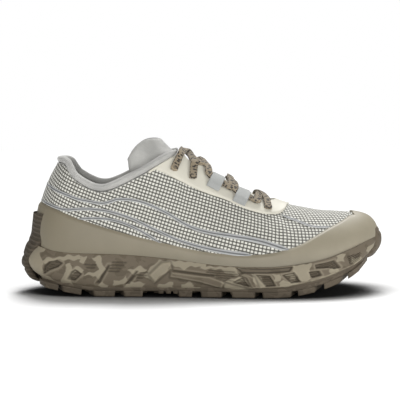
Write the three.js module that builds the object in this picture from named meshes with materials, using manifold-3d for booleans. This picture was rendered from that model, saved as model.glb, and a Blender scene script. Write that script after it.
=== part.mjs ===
// A low trail running shoe for the right foot, in millimetres.
// X runs from heel (-) to toe (+), Y from the lateral side (-) to the medial side (+), Z up from the floor.
import * as THREE from "three";
import { mergeVertices } from "three/addons/utils/BufferGeometryUtils.js";
import Module from "manifold-3d";

const wasm = await Module();
wasm.setup();

// Driving sizes of the sole
const SHOE_LENGTH = 302;
const SOLE_WIDTH = 108;
const HEEL_STACK = 29;
const FORE_STACK = 19.5;
const TOE_SPRING = 21;
const LUG_DEPTH = 4.5;
const RUBBER_SHEET = 2;
const RIM_HEIGHT = 5.5;
const ROCKER_RISE = 36;
const HEEL_WRAP_HEIGHT = 66;
const TOE_WRAP_HEIGHT = 56;
const WRAP_WIDTH = 34;
const WRAP_ROUNDING = 6.8;
const WINDOW_DEPTH = 2.6;
const GROOVE_DEPTH = 1.4;
const RIB_HEIGHT = 1.3;
const SHEET_LAP = 1.4;
const LUG_LENGTH = 8;
const CHEVRON_SWEEP = 7;

// Driving sizes of the upper
const UPPER_RISE = 81;
const UPPER_WALL = 2.2;
const THROAT_HALF_WIDTH = 15;
const THROAT_ROUNDING = 13;
const RAND_THICKNESS = 1;
const EYESTAY_THICKNESS = 0.9;
const BINDING_RADIUS = 2.6;
const BINDING_GAP = 1.2;
const EYELET_RADIUS = 2.3;

// Driving sizes of the pieces that go in and on
const FIT_GAP = 0.35;
const INSOLE_THICKNESS = 4;
const INSOLE_CHAMFER = 1.2;
const TONGUE_THICKNESS = 3.4;
const TONGUE_CLEARANCE = 1.7;
const TONGUE_EDGE = 0.5;
const TONGUE_LOBE = 9;
const LACE_WIDTH = 6.4;
const LACE_THICKNESS = 1.8;
const LOOP_WIDTH = 11;

// How finely the curved forms are faceted
const WALL_STATIONS = 30;
const SOLE_STATIONS = 52;
const INSOLE_STATIONS = 48;
const RAND_STEPS = 3;
const OVERLAY_STEPS = 2;
const ROW_BLEND = 1.6;
const BINDING_SIDES = 8;
const EYELET_SIDES = 8;
const BINDING_STEPS = 30;
const CROSSING_STEPS = 4;

// Sections of the upper, from the heel's centre line to the toe's.
// foot: where the section meets the footbed. top: where it ends, at the collar or at the instep's ridge.
// x is a share of SHOE_LENGTH, lat, med, belly and roof of SOLE_WIDTH, and rise of UPPER_RISE.
// bellyUp and roofDown are shares of the section's own rise.
const UPPER_ROWS = [
  { footX: -0.443, footLat: -0.023, footMed: -0.023, topX: -0.39, topLat: -0.023, topMed: -0.023,
    riseLat: 1, riseMed: 1, belly: 0.102, bellyUp: 0.28, roof: 0.13, roofDown: 0.22 },
  { footX: -0.423, footLat: -0.21, footMed: 0.162, topX: -0.366, topLat: -0.165, topMed: 0.12,
    riseLat: 0.98, riseMed: 0.98, belly: 0.09, bellyUp: 0.28, roof: 0.1, roofDown: 0.2 },
  { footX: -0.373, footLat: -0.3, footMed: 0.25, topX: -0.337, topLat: -0.238, topMed: 0.2,
    riseLat: 0.83, riseMed: 0.84, belly: 0.072, bellyUp: 0.3, roof: 0.065, roofDown: 0.25 },
  { footX: -0.283, footLat: -0.338, footMed: 0.287, topX: -0.268, topLat: -0.28, topMed: 0.255,
    riseLat: 0.735, riseMed: 0.75, belly: 0.055, bellyUp: 0.33, roof: 0.037, roofDown: 0.3 },
  { footX: -0.167, footLat: -0.347, footMed: 0.282, topX: -0.18, topLat: -0.278, topMed: 0.255,
    riseLat: 0.895, riseMed: 0.91, belly: 0.046, bellyUp: 0.3, roof: 0.046, roofDown: 0.3 },
  { footX: -0.067, footLat: -0.366, footMed: 0.292, topX: -0.08, topLat: -0.213, topMed: 0.194,
    riseLat: 1.14, riseMed: 1.14, belly: 0.046, bellyUp: 0.3, roof: 0.083, roofDown: 0.2 },
  { footX: 0, footLat: -0.394, footMed: 0.32, topX: -0.027, topLat: 0, topMed: 0,
    riseLat: 1.2, riseMed: 1.2, belly: 0.037, bellyUp: 0.35, roof: 0.19, roofDown: 0.04 },
  { footX: 0.1, footLat: -0.43, footMed: 0.38, topX: 0.083, topLat: 0.014, topMed: 0.014,
    riseLat: 0.95, riseMed: 0.95, belly: 0.035, bellyUp: 0.4, roof: 0.19, roofDown: 0.02 },
  { footX: 0.207, footLat: -0.449, footMed: 0.44, topX: 0.2, topLat: 0.023, topMed: 0.023,
    riseLat: 0.69, riseMed: 0.69, belly: 0.032, bellyUp: 0.42, roof: 0.22, roofDown: 0 },
  { footX: 0.31, footLat: -0.398, footMed: 0.449, topX: 0.293, topLat: 0.042, topMed: 0.042,
    riseLat: 0.55, riseMed: 0.55, belly: 0.035, bellyUp: 0.45, roof: 0.22, roofDown: 0 },
  { footX: 0.393, footLat: -0.282, footMed: 0.384, topX: 0.362, topLat: 0.06, topMed: 0.06,
    riseLat: 0.425, riseMed: 0.425, belly: 0.042, bellyUp: 0.45, roof: 0.19, roofDown: 0 },
  { footX: 0.453, footLat: -0.111, footMed: 0.278, topX: 0.408, topLat: 0.074, topMed: 0.074,
    riseLat: 0.33, riseMed: 0.33, belly: 0.05, bellyUp: 0.42, roof: 0.16, roofDown: 0 },
  { footX: 0.478, footLat: 0.093, footMed: 0.093, topX: 0.43, topLat: 0.083, topMed: 0.083,
    riseLat: 0.285, riseMed: 0.285, belly: 0.055, bellyUp: 0.4, roof: 0.125, roofDown: 0 },
];
const RIDGE_ROW = 6;
const LAST_ROW = UPPER_ROWS.length - 1;

// The sole's outline at its widest, from heel to toe, and how far it draws in below and above that.
// x is a share of SHOE_LENGTH, the others of SOLE_WIDTH.
const SOLE_ROWS = [
  { x: -0.484, lat: -0.023, med: -0.023, low: 0.12, high: 0.065 },
  { x: -0.463, lat: -0.222, med: 0.176, low: 0.085, high: 0.05 },
  { x: -0.403, lat: -0.345, med: 0.301, low: 0.045, high: 0.034 },
  { x: -0.3, lat: -0.396, med: 0.354, low: 0.03, high: 0.03 },
  { x: -0.183, lat: -0.403, med: 0.347, low: 0.024, high: 0.026 },
  { x: -0.05, lat: -0.421, med: 0.356, low: 0.024, high: 0.026 },
  { x: 0.083, lat: -0.472, med: 0.426, low: 0.028, high: 0.024 },
  { x: 0.193, lat: -0.499, med: 0.484, low: 0.028, high: 0.024 },
  { x: 0.3, lat: -0.462, med: 0.499, low: 0.028, high: 0.02 },
  { x: 0.393, lat: -0.338, med: 0.44, low: 0.032, high: 0.014 },
  { x: 0.46, lat: -0.148, med: 0.319, low: 0.037, high: 0.006 },
  { x: 0.489, lat: 0.093, med: 0.093, low: 0.045, high: 0.002 },
];

// Heights along the shoe. heel and toe share out HEEL_STACK - FORE_STACK and TOE_SPRING, rim RIM_HEIGHT.
const FOOTBED_ROWS = [
  { x: -0.5, heel: 1, toe: 0, rim: 2.1 },
  { x: -0.45, heel: 1, toe: 0, rim: 1.9 },
  { x: -0.4, heel: 0.99, toe: 0, rim: 1.3 },
  { x: -0.34, heel: 0.98, toe: 0, rim: 1.1 },
  { x: -0.22, heel: 0.88, toe: 0, rim: 1.1 },
  { x: -0.08, heel: 0.48, toe: 0, rim: 1.15 },
  { x: 0.04, heel: 0.1, toe: 0, rim: 1 },
  { x: 0.16, heel: 0, toe: 0, rim: 0.97 },
  { x: 0.24, heel: 0, toe: 0.07, rim: 1 },
  { x: 0.33, heel: 0, toe: 0.28, rim: 1 },
  { x: 0.4, heel: 0, toe: 0.62, rim: 0.95 },
  { x: 0.46, heel: 0, toe: 0.93, rim: 0.9 },
  { x: 0.5, heel: 0, toe: 1.1, rim: 0.8 },
];

// How far the tread has lifted off the floor, as a share of ROCKER_RISE. The zeros are where the shoe stands.
const ROCKER_ROWS = [
  { x: -0.5, lift: 0.5 },
  { x: -0.47, lift: 0.28 },
  { x: -0.44, lift: 0.2 },
  { x: -0.39, lift: 0.12 },
  { x: -0.34, lift: 0.05 },
  { x: -0.29, lift: 0 },
  { x: 0.2, lift: 0 },
  { x: 0.26, lift: 0.05 },
  { x: 0.31, lift: 0.14 },
  { x: 0.36, lift: 0.27 },
  { x: 0.41, lift: 0.45 },
  { x: 0.46, lift: 0.75 },
  { x: 0.5, lift: 1.05 },
];

// The rand's upper edge, as a height above the footbed in shares of UPPER_RISE.
const RAND_ROWS = [
  { x: -0.46, height: 0.57 },
  { x: -0.42, height: 0.545 },
  { x: -0.35, height: 0.445 },
  { x: -0.27, height: 0.35 },
  { x: -0.2, height: 0.285 },
  { x: -0.11, height: 0.235 },
  { x: -0.03, height: 0.2 },
  { x: 0.05, height: 0.185 },
  { x: 0.12, height: 0.185 },
  { x: 0.18, height: 0.2 },
  { x: 0.24, height: 0.235 },
  { x: 0.27, height: 0.265 },
  { x: 0.3, height: 0.305 },
  { x: 0.34, height: 0.345 },
  { x: 0.38, height: 0.358 },
  { x: 0.41, height: 0.375 },
  { x: 0.43, height: 0.4 },
];
// Where the rand's edge crosses the ridge, as a share of SHOE_LENGTH.
const RAND_CROSSING = 0.424;
// The station from which it climbs to there.
const RAND_CLOSING = 10.6;

// The eyestay's lower edge on each side, as a height above the footbed in shares of UPPER_RISE.
const EYESTAY_ROWS = [
  { x: -0.16, height: 1.02 },
  { x: -0.143, height: 0.981 },
  { x: -0.123, height: 0.951 },
  { x: -0.09, height: 0.905 },
  { x: -0.02, height: 0.801 },
  { x: 0.017, height: 0.76 },
  { x: 0.06, height: 0.716 },
  { x: 0.117, height: 0.628 },
  { x: 0.167, height: 0.578 },
  { x: 0.207, height: 0.567 },
  { x: 0.227, height: 0.604 },
  { x: 0.237, height: 0.66 },
];
const EYESTAY_FROM = -0.145;
const EYESTAY_TO = 0.238;
const EYESTAY_TIP = 0.03;

// The lacing up one side of the throat, from its top: x is a share of SHOE_LENGTH, height one of UPPER_RISE
// above the footbed.
const TOP_EYELET = { x: -0.0775, height: 0.984 };
const SECOND_EYELET = { x: -0.0275, height: 0.915 };
const LOW_EYELET = { x: 0.176, height: 0.625 };
const EYELETS = [TOP_EYELET, SECOND_EYELET, LOW_EYELET];
const LOOPS = [{ x: 0.0447 }, { x: 0.1156 }];
// Where the lace runs through a loop, as a distance down from the ridge in shares of SOLE_WIDTH.
const LACE_LINE = 0.185;
// A webbing loop from its sewn end to its open one: ahead is how far it leans, as a share of SHOE_LENGTH.
const LOOP_ROWS = [
  { down: 0.31, ahead: -0.017, height: 1.2 },
  { down: 0.246, ahead: -0.008, height: 1.6 },
  { down: 0.23, ahead: -0.005, height: 4.5 },
  { down: 0.14, ahead: 0.004, height: 4.5 },
];
const LACE_LIFT = 2.9;
const EDGE_RISE = 1.2;
// The topmost crossing: where it passes the throat's edges, as shares of SHOE_LENGTH, and its middle, with x as
// one of SHOE_LENGTH and z of UPPER_RISE.
const TOP_CROSSING = { fromEdge: -0.06, toEdge: -0.036, x: -0.048, z: 1.455 };

const { clamp, lerp } = THREE.MathUtils;
const footX = (share) => share * SHOE_LENGTH;

// A smooth curve through a table's rows, read at x.
function along(rows, key, share) {
  if (share <= rows[0].x) return rows[0][key];
  const end = rows.length - 1;
  if (share >= rows[end].x) return rows[end][key];
  const i = rows.findIndex((row) => row.x > share) - 1;
  const slope = (k) => {
    const a = rows[Math.max(k - 1, 0)];
    const b = rows[Math.min(k + 1, end)];
    return (b[key] - a[key]) / (b.x - a.x);
  };
  const span = rows[i + 1].x - rows[i].x;
  const u = (share - rows[i].x) / span;
  const bend = u * u * (3 - 2 * u);
  const rise = rows[i + 1][key] - rows[i][key];
  return rows[i][key] + rise * bend + span * u * (1 - u) * (slope(i) * (1 - u) - slope(i + 1) * u);
}

// A smooth curve through values that run round a closed ring, read at a row number that may hold a fraction.
function roundRing(values, at) {
  const n = values.length;
  const i = Math.floor(at);
  const u = at - i;
  const [a, b, c, d] = [-1, 0, 1, 2].map((k) => values[(((i + k) % n) + n) % n]);
  return b + 0.5 * u * (c - a + u * (2 * a - 5 * b + 4 * c - d + u * (3 * (b - c) + d - a)));
}

// One column of a table of half sections as a ring: up the lateral side and back down the medial side.
function ringOf(rows, latKey, medKey = latKey) {
  const back = rows.slice(1, -1).reverse();
  return [...rows.map((row) => row[latKey]), ...back.map((row) => row[medKey])];
}

const UPPER_RINGS = {
  footX: ringOf(UPPER_ROWS, "footX"),
  footY: ringOf(UPPER_ROWS, "footLat", "footMed"),
  topX: ringOf(UPPER_ROWS, "topX"),
  topY: ringOf(UPPER_ROWS, "topLat", "topMed"),
  rise: ringOf(UPPER_ROWS, "riseLat", "riseMed"),
  belly: ringOf(UPPER_ROWS, "belly"),
  bellyUp: ringOf(UPPER_ROWS, "bellyUp"),
  roof: ringOf(UPPER_ROWS, "roof"),
  roofDown: ringOf(UPPER_ROWS, "roofDown"),
};
const SOLE_RINGS = {
  x: ringOf(SOLE_ROWS, "x"),
  y: ringOf(SOLE_ROWS, "lat", "med"),
  low: ringOf(SOLE_ROWS, "low"),
  high: ringOf(SOLE_ROWS, "high"),
};

const footbed = (x) =>
  FORE_STACK +
  (HEEL_STACK - FORE_STACK) * along(FOOTBED_ROWS, "heel", x / SHOE_LENGTH) +
  TOE_SPRING * along(FOOTBED_ROWS, "toe", x / SHOE_LENGTH);
const rimTop = (x) => footbed(x) + RIM_HEIGHT * along(FOOTBED_ROWS, "rim", x / SHOE_LENGTH);
const treadLift = (x) => Math.max(0, ROCKER_RISE * along(ROCKER_ROWS, "lift", x / SHOE_LENGTH));
const sheetBottom = (x) => treadLift(x) + LUG_DEPTH;
const midsoleBottom = (x) => sheetBottom(x) + RUBBER_SHEET;

// The outward direction, seen from above, of a ring of x and y at a place on it.
function outward(ringX, ringY, at) {
  const step = 0.02;
  const dx = (roundRing(ringX, at + step) - roundRing(ringX, at - step)) * SHOE_LENGTH;
  const dy = (roundRing(ringY, at + step) - roundRing(ringY, at - step)) * SOLE_WIDTH;
  const size = Math.hypot(dx, dy);
  return [dy / size, -dx / size];
}

// side is -1 for lateral and 1 for medial; t runs from 0 at the heel to LAST_ROW at the toe.
const ringPlace = (side, t) => (side < 0 ? t : 2 * LAST_ROW - t);
const onSeam = (t) => t <= 0 || t >= LAST_ROW;

// The upper's outer surface: v is 0 at the footbed and 1 at the collar line or the ridge.
function upperPoint(side, t, v) {
  const at = ringPlace(side, t);
  const read = (key) => roundRing(UPPER_RINGS[key], at);
  const [outX, outYRaw] = outward(UPPER_RINGS.footX, UPPER_RINGS.footY, at);
  const outY = onSeam(t) ? 0 : outYRaw;
  const x0 = read("footX") * SHOE_LENGTH;
  const y0 = read("footY") * SOLE_WIDTH;
  const z0 = footbed(x0);
  const rise = read("rise") * UPPER_RISE;
  const topX = read("topX") * SHOE_LENGTH;
  const other = roundRing(UPPER_RINGS.topY, ringPlace(-side, t));
  const topY = (t >= RIDGE_ROW ? (read("topY") + other) / 2 : read("topY")) * SOLE_WIDTH;
  const belly = read("belly") * SOLE_WIDTH;
  const roof = read("roof") * SOLE_WIDTH;
  const points = [
    new THREE.Vector3(x0, y0, z0),
    new THREE.Vector3(x0 + outX * belly, y0 + outY * belly, z0 + read("bellyUp") * rise),
    new THREE.Vector3(topX + outX * roof, topY + outY * roof, z0 + rise * (1 - read("roofDown"))),
    new THREE.Vector3(topX, topY, z0 + rise),
  ];
  return new THREE.CubicBezierCurve3(...points).getPoint(v);
}

// The surface's outward normal. On the heel's, toe's and ridge's centre lines it has no sideways part.
function upperNormal(side, t, v) {
  const step = 0.01;
  const t0 = clamp(t - step, 0, LAST_ROW);
  const t1 = clamp(t + step, 0, LAST_ROW);
  const v0 = clamp(v - step, 0, 1);
  const v1 = clamp(v + step, 0, 1);
  const up = upperPoint(side, t, v1).sub(upperPoint(side, t, v0));
  const ahead = upperPoint(side, t1, v).sub(upperPoint(side, t0, v));
  if (onSeam(t)) return new THREE.Vector3(-up.z, 0, up.x).normalize().multiplyScalar(t <= 0 ? 1 : -1);
  if (v >= 1 && t >= RIDGE_ROW) return new THREE.Vector3(-ahead.z, 0, ahead.x).normalize();
  return ahead.cross(up).multiplyScalar(-side).normalize();
}

const offsetPoint = (side, t, v, offset) =>
  upperPoint(side, t, v).addScaledVector(upperNormal(side, t, v), offset);

// The v at which a measure of the surface, which rises with v, reaches a value.
function findV(side, t, measure, value) {
  let low = 0;
  let high = 1;
  for (let i = 0; i < 24; i++) {
    const middle = (low + high) / 2;
    if (measure(upperPoint(side, t, middle)) < value) low = middle;
    else high = middle;
  }
  return (low + high) / 2;
}

const THROAT_ROW = 8;
const THROAT_FRONT = UPPER_ROWS[THROAT_ROW].topX * SHOE_LENGTH;
const COLLAR_STOP = 5.12;
const THROAT_START = 4.5;
const ridgeY = (t) => upperPoint(-1, Math.max(t, RIDGE_ROW), 1).y;

function throatHalf(x) {
  const ahead = clamp((THROAT_FRONT - x) / THROAT_ROUNDING, 0, 1);
  return THROAT_HALF_WIDTH * Math.sqrt(1 - (1 - ahead) ** 2);
}

// The upper's top edge: the collar line less the bead that sits on it, the throat's side, or the ridge.
function topEdge(side, t) {
  if (t >= THROAT_ROW) return 1;
  const top = upperPoint(side, t, 1);
  const length = upperPoint(side, t, 0.9).distanceTo(top) * 10;
  const collar = t < RIDGE_ROW ? 1 - (BINDING_RADIUS + BINDING_GAP) / length : 1;
  if (t < THROAT_START) return collar;
  return Math.min(collar, findV(side, t, (p) => -Math.abs(p.y - ridgeY(t)), -throatHalf(top.x)));
}

// Triangles collected by corner, then merged into a solid.
class Skin {
  constructor() {
    this.corners = [];
  }
  quad(a, b, c, d) {
    this.corners.push(a, b, c, a, c, d);
  }
  // Four corners seen from outside anticlockwise, or clockwise where flip is set. It splits from a to c.
  face(flip, a, b, c, d) {
    if (flip) this.quad(a, d, c, b);
    else this.quad(a, b, c, d);
  }
  geometry() {
    const flat = new Float32Array(this.corners.flatMap((p) => [p.x, p.y, p.z]));
    const raw = new THREE.BufferGeometry().setAttribute("position", new THREE.BufferAttribute(flat, 3));
    return mergeVertices(raw, 1e-4);
  }
}

// A closed geometry as a solid that can be joined and cut.
function solidOf(geometry) {
  const bare = new THREE.BufferGeometry().setAttribute("position", geometry.getAttribute("position"));
  bare.setIndex(geometry.index);
  const merged = mergeVertices(bare, 1e-4);
  const kept = [];
  for (let i = 0; i < merged.index.count; i += 3) {
    const [a, b, c] = [0, 1, 2].map((k) => merged.index.getX(i + k));
    if (a !== b && b !== c && c !== a) kept.push(a, b, c);
  }
  return new wasm.Manifold(
    new wasm.Mesh({
      numProp: 3,
      vertProperties: new Float32Array(merged.getAttribute("position").array),
      triVerts: new Uint32Array(kept),
    }),
  );
}

// A closed solid through sections of equal count, each running anticlockwise as seen along the way they follow.
function loft(sections) {
  const skin = new Skin();
  const n = sections[0].length;
  for (let i = 0; i < sections.length - 1; i++) {
    for (let k = 0; k < n; k++) {
      const m = (k + 1) % n;
      skin.quad(sections[i][k], sections[i + 1][k], sections[i + 1][m], sections[i][m]);
    }
  }
  const [first, final] = [sections[0], sections[sections.length - 1]];
  for (let k = 1; k < n - 1; k++) {
    skin.corners.push(first[0], first[k], first[k + 1]);
    skin.corners.push(final[0], final[k + 1], final[k]);
  }
  return solidOf(skin.geometry());
}

function geometryOf(solid) {
  const mesh = solid.getMesh();
  const flat = new Float32Array(mesh.numVert * 3);
  for (let i = 0; i < mesh.numVert; i++) {
    flat.set(mesh.vertProperties.subarray(i * mesh.numProp, i * mesh.numProp + 3), i * 3);
  }
  return new THREE.BufferGeometry()
    .setAttribute("position", new THREE.BufferAttribute(flat, 3))
    .setIndex(new THREE.BufferAttribute(new Uint32Array(mesh.triVerts), 1));
}

const spread = (from, to, count) => Array.from({ length: count + 1 }, (_, i) => lerp(from, to, i / count));

// A shell on the upper's surface between two offsets, over both sides of some stations. rows gives the heights
// of its facets at a station. Its two sides share the centre line wherever both reach it.
function wrapShell(stations, rows, inner, outer) {
  const skin = new Skin();
  const steps = rows(-1, stations[0]).length - 1;
  const last = stations.length - 1;
  for (const side of [-1, 1]) {
    const layer = (offset) => stations.map((t) => rows(side, t).map((v) => offsetPoint(side, t, v, offset)));
    const a = layer(inner);
    const b = layer(outer);
    const flip = side > 0;
    for (let i = 0; i < last; i++) {
      for (let j = 0; j < steps; j++) {
        skin.face(flip, b[i][j], b[i + 1][j], b[i + 1][j + 1], b[i][j + 1]);
        skin.face(!flip, a[i][j], a[i + 1][j], a[i + 1][j + 1], a[i][j + 1]);
      }
      skin.face(flip, a[i][0], a[i + 1][0], b[i + 1][0], b[i][0]);
      const joined = [stations[i], stations[i + 1]].every((t) => t >= RIDGE_ROW && rows(side, t)[steps] >= 1);
      if (!joined) skin.face(flip, b[i][steps], b[i + 1][steps], a[i + 1][steps], a[i][steps]);
    }
    for (const [i, end] of [[0, flip], [last, !flip]]) {
      if (onSeam(stations[i])) continue;
      for (let j = 0; j < steps; j++) skin.face(end, a[i][j], b[i][j], b[i][j + 1], a[i][j + 1]);
    }
  }
  return solidOf(skin.geometry());
}

// The station at which the surface stands over an x, at a height share v.
function stationAt(side, x, v) {
  let low = 0;
  let high = LAST_ROW;
  for (let i = 0; i < 24; i++) {
    const middle = (low + high) / 2;
    if (upperPoint(side, middle, v).x < x) low = middle;
    else high = middle;
  }
  return (low + high) / 2;
}

// A v measured down the surface from the ridge, in shares of SOLE_WIDTH.
function vBelowRidge(side, t, down) {
  const target = down * SOLE_WIDTH;
  let length = 0;
  let before = upperPoint(side, t, 1);
  const parts = 60;
  for (let i = parts - 1; i >= 0; i--) {
    const here = upperPoint(side, t, i / parts);
    const step = here.distanceTo(before);
    if (length + step >= target) return (i + 1 - (target - length) / step) / parts;
    length += step;
    before = here;
  }
  return 0;
}

// The station and v at an x and a distance down from the ridge.
function placeDown(side, share, down) {
  let v = 0.9;
  let t = 0;
  for (let i = 0; i < 5; i++) {
    t = stationAt(side, footX(share), v);
    v = vBelowRidge(side, t, down);
  }
  return { side, t, v };
}

// The station and v at an x and a height above the footbed.
function placeUp(side, { x, height }) {
  let v = 0.9;
  let t = 0;
  for (let i = 0; i < 5; i++) {
    t = stationAt(side, footX(x), v);
    v = vAtHeight(side, t, footbed(footX(x)) + UPPER_RISE * height);
  }
  return { side, t, v };
}

const standOff = ({ side, t, v }, lift) => ({
  point: offsetPoint(side, t, v, lift),
  normal: upperNormal(side, t, v),
});

function pinAt(place, radius, from, to) {
  const { point, normal } = standOff(place, (from + to) / 2);
  const pin = new THREE.CylinderGeometry(radius, radius, to - from, EYELET_SIDES);
  pin.applyQuaternion(new THREE.Quaternion().setFromUnitVectors(new THREE.Vector3(0, 1, 0), normal));
  pin.translate(point.x, point.y, point.z);
  return solidOf(pin);
}

function punchEyelets(solid) {
  const reach = 4 * UPPER_WALL;
  let cut = solid;
  for (const side of [-1, 1]) {
    for (const row of EYELETS) cut = cut.subtract(pinAt(placeUp(side, row), EYELET_RADIUS, -reach, reach));
  }
  return cut;
}

// The station where the rand's edge crosses the ridge.
const crossing = stationAt(-1, footX(RAND_CROSSING), 1);

// Height above the footbed, turned into a v.
const vAtHeight = (side, t, height) => findV(side, t, (p) => p.z, height);

function randTop(side, t) {
  if (t >= crossing) return 1;
  if (t > RAND_CLOSING) {
    const share = (t - RAND_CLOSING) / (crossing - RAND_CLOSING);
    return lerp(randTop(side, RAND_CLOSING), 1, share ** 1.5);
  }
  let v = 0.3;
  for (let i = 0; i < 6; i++) {
    const x = upperPoint(side, t, v).x;
    const height = footbed(x) + UPPER_RISE * along(RAND_ROWS, "height", x / SHOE_LENGTH);
    v = vAtHeight(side, t, height);
  }
  return Math.min(v, 1);
}

function randBottom(side, t) {
  let v = 0.1;
  for (let i = 0; i < 4; i++) {
    const x = upperPoint(side, t, v).x;
    v = vAtHeight(side, t, rimTop(x) + 2 * FIT_GAP);
  }
  return v;
}

const eyestayFrom = stationAt(-1, footX(EYESTAY_FROM), 0.95);
const eyestayTo = stationAt(-1, footX(EYESTAY_TO), 1);

function eyestayLow(side, t) {
  let v = 0.85;
  for (let i = 0; i < 6; i++) {
    const x = upperPoint(side, t, v).x;
    v = vAtHeight(side, t, footbed(x) + UPPER_RISE * along(EYESTAY_ROWS, "height", x / SHOE_LENGTH));
  }
  return Math.min(v, topEdge(side, t) - EYESTAY_TIP);
}

// The stations of every piece that is cut from the upper's surface, with the overlays' own ends among them.
const OWN_STATIONS = [eyestayFrom, ...spread(THROAT_ROW, eyestayTo, 3), crossing];
const STATIONS = spread(0, LAST_ROW, WALL_STATIONS)
  .filter((t) => onSeam(t) || OWN_STATIONS.every((own) => Math.abs(own - t) > 0.12))
  .concat(OWN_STATIONS)
  .sort((a, b) => a - b);

// The heights of the wall's facets: they meet the rand's two edges and the eyestay's lower edge.
const randRows = (side, t) => spread(randBottom(side, t), randTop(side, t), RAND_STEPS);
const eyestayRows = (side, t) => spread(eyestayLow(side, t), topEdge(side, t), OVERLAY_STEPS);

function wallRows(side, t) {
  const rand = randRows(side, t);
  const top = topEdge(side, t);
  const end = clamp(t, eyestayFrom, eyestayTo);
  const away = Math.min(Math.abs(t - end) / ROW_BLEND, 1);
  const free = lerp(rand[RAND_STEPS], top, 0.6);
  const stay = spread(Math.max(lerp(eyestayLow(side, end), free, away), rand[RAND_STEPS]), top, OVERLAY_STEPS);
  return [0, ...rand, (rand[RAND_STEPS] + stay[0]) / 2, ...stay];
}

// The closed form that the upper is wrapped on, grown all over and lowered underneath, with a lid on top.
function lastForm(grow, drop) {
  const skin = new Skin();
  const grid = (side) =>
    STATIONS.map((t) => {
      const column = wallRows(side, t).map((v) => offsetPoint(side, t, v, grow));
      column[0].z -= drop;
      return column;
    });
  const lat = grid(-1);
  const med = grid(1);
  const top = lat[0].length - 1;
  for (let i = 0; i < STATIONS.length - 1; i++) {
    for (let j = 0; j < top; j++) {
      skin.quad(lat[i][j], lat[i + 1][j], lat[i + 1][j + 1], lat[i][j + 1]);
      skin.quad(med[i][j], med[i][j + 1], med[i + 1][j + 1], med[i + 1][j]);
    }
    skin.quad(med[i][0], med[i + 1][0], lat[i + 1][0], lat[i][0]);
    skin.quad(lat[i][top], lat[i + 1][top], med[i + 1][top], med[i][top]);
  }
  return solidOf(skin.geometry());
}

// The upper is one hollow wall, open at the collar and throat and underneath.
const upperSolid = () => punchEyelets(wrapShell(STATIONS, wallRows, -UPPER_WALL, 0));
const randSolid = () => wrapShell(STATIONS, randRows, FIT_GAP, FIT_GAP + RAND_THICKNESS);

function eyestaySolid() {
  const stations = STATIONS.filter((t) => t >= eyestayFrom && t <= eyestayTo);
  return punchEyelets(wrapShell(stations, eyestayRows, FIT_GAP, FIT_GAP + EYESTAY_THICKNESS));
}

// A ring round the sole: inset and z are functions of the place and of x.
function soleRing(grow, insetKey, height) {
  const n = SOLE_RINGS.x.length;
  return spread(0, n, SOLE_STATIONS).slice(0, -1).map((at) => {
    const [outX, outY] = outward(SOLE_RINGS.x, SOLE_RINGS.y, at);
    const inset = insetKey ? roundRing(SOLE_RINGS[insetKey], at) * SOLE_WIDTH : 0;
    const x = roundRing(SOLE_RINGS.x, at) * SHOE_LENGTH + outX * (grow - inset);
    const y = roundRing(SOLE_RINGS.y, at) * SOLE_WIDTH + outY * (grow - inset);
    return new THREE.Vector3(x, y, height(x));
  });
}

// A closed body through rings that start at the heel and run up the lateral side, lowest first.
function stackRings(rings) {
  const skin = new Skin();
  const n = rings[0].length;
  for (let k = 0; k < rings.length - 1; k++) {
    for (let i = 0; i < n; i++) {
      const j = (i + 1) % n;
      skin.quad(rings[k][i], rings[k][j], rings[k + 1][j], rings[k + 1][i]);
    }
  }
  const top = rings[rings.length - 1];
  const bottom = rings[0];
  for (let i = 0; i < n / 2; i++) {
    const j = (n - i) % n;
    skin.quad(top[i], top[i + 1], top[n - i - 1], top[j]);
    skin.quad(bottom[j], bottom[n - i - 1], bottom[i + 1], bottom[i]);
  }
  return solidOf(skin.geometry());
}

// The midsole's own outside: drawn in below, widest at its bulge, drawn in to the rim.
const MIDSOLE_LEVELS = [
  { inset: "low", share: 1, height: 0 },
  { inset: "low", share: 0.35, height: 0.14 },
  { inset: null, share: 0, height: 0.42 },
  { inset: "high", share: 0.45, height: 0.78 },
  { inset: "high", share: 1, height: 1 },
];

function soleForm(grow) {
  const rings = MIDSOLE_LEVELS.map(({ inset, share, height }) => {
    const lift = height === 0 ? -grow : height === 1 ? grow : 0;
    const full = soleRing(grow, inset, (x) => lerp(midsoleBottom(x), rimTop(x), height) + lift);
    if (!inset || share === 1) return full;
    const wide = soleRing(grow, null, (x) => lerp(midsoleBottom(x), rimTop(x), height) + lift);
    return full.map((p, i) => {
      const mixed = p.clone().lerp(wide[i], 1 - share);
      mixed.z = lerp(midsoleBottom(mixed.x), rimTop(mixed.x), height) + lift;
      return mixed;
    });
  });
  return stackRings(rings);
}

// Where the midsole's wall stands, and its height, at an x on one side.
function soleWallY(side, x) {
  let low = 0;
  let high = SOLE_ROWS.length - 1;
  const place = (t) => (side < 0 ? t : 2 * (SOLE_ROWS.length - 1) - t);
  for (let i = 0; i < 24; i++) {
    const middle = (low + high) / 2;
    if (roundRing(SOLE_RINGS.x, place(middle)) * SHOE_LENGTH < x) low = middle;
    else high = middle;
  }
  return roundRing(SOLE_RINGS.y, place(low)) * SOLE_WIDTH;
}

// How deep a raised rib is rooted in the wall.
const RIB_ROOT = 4 * RIB_HEIGHT;

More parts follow.
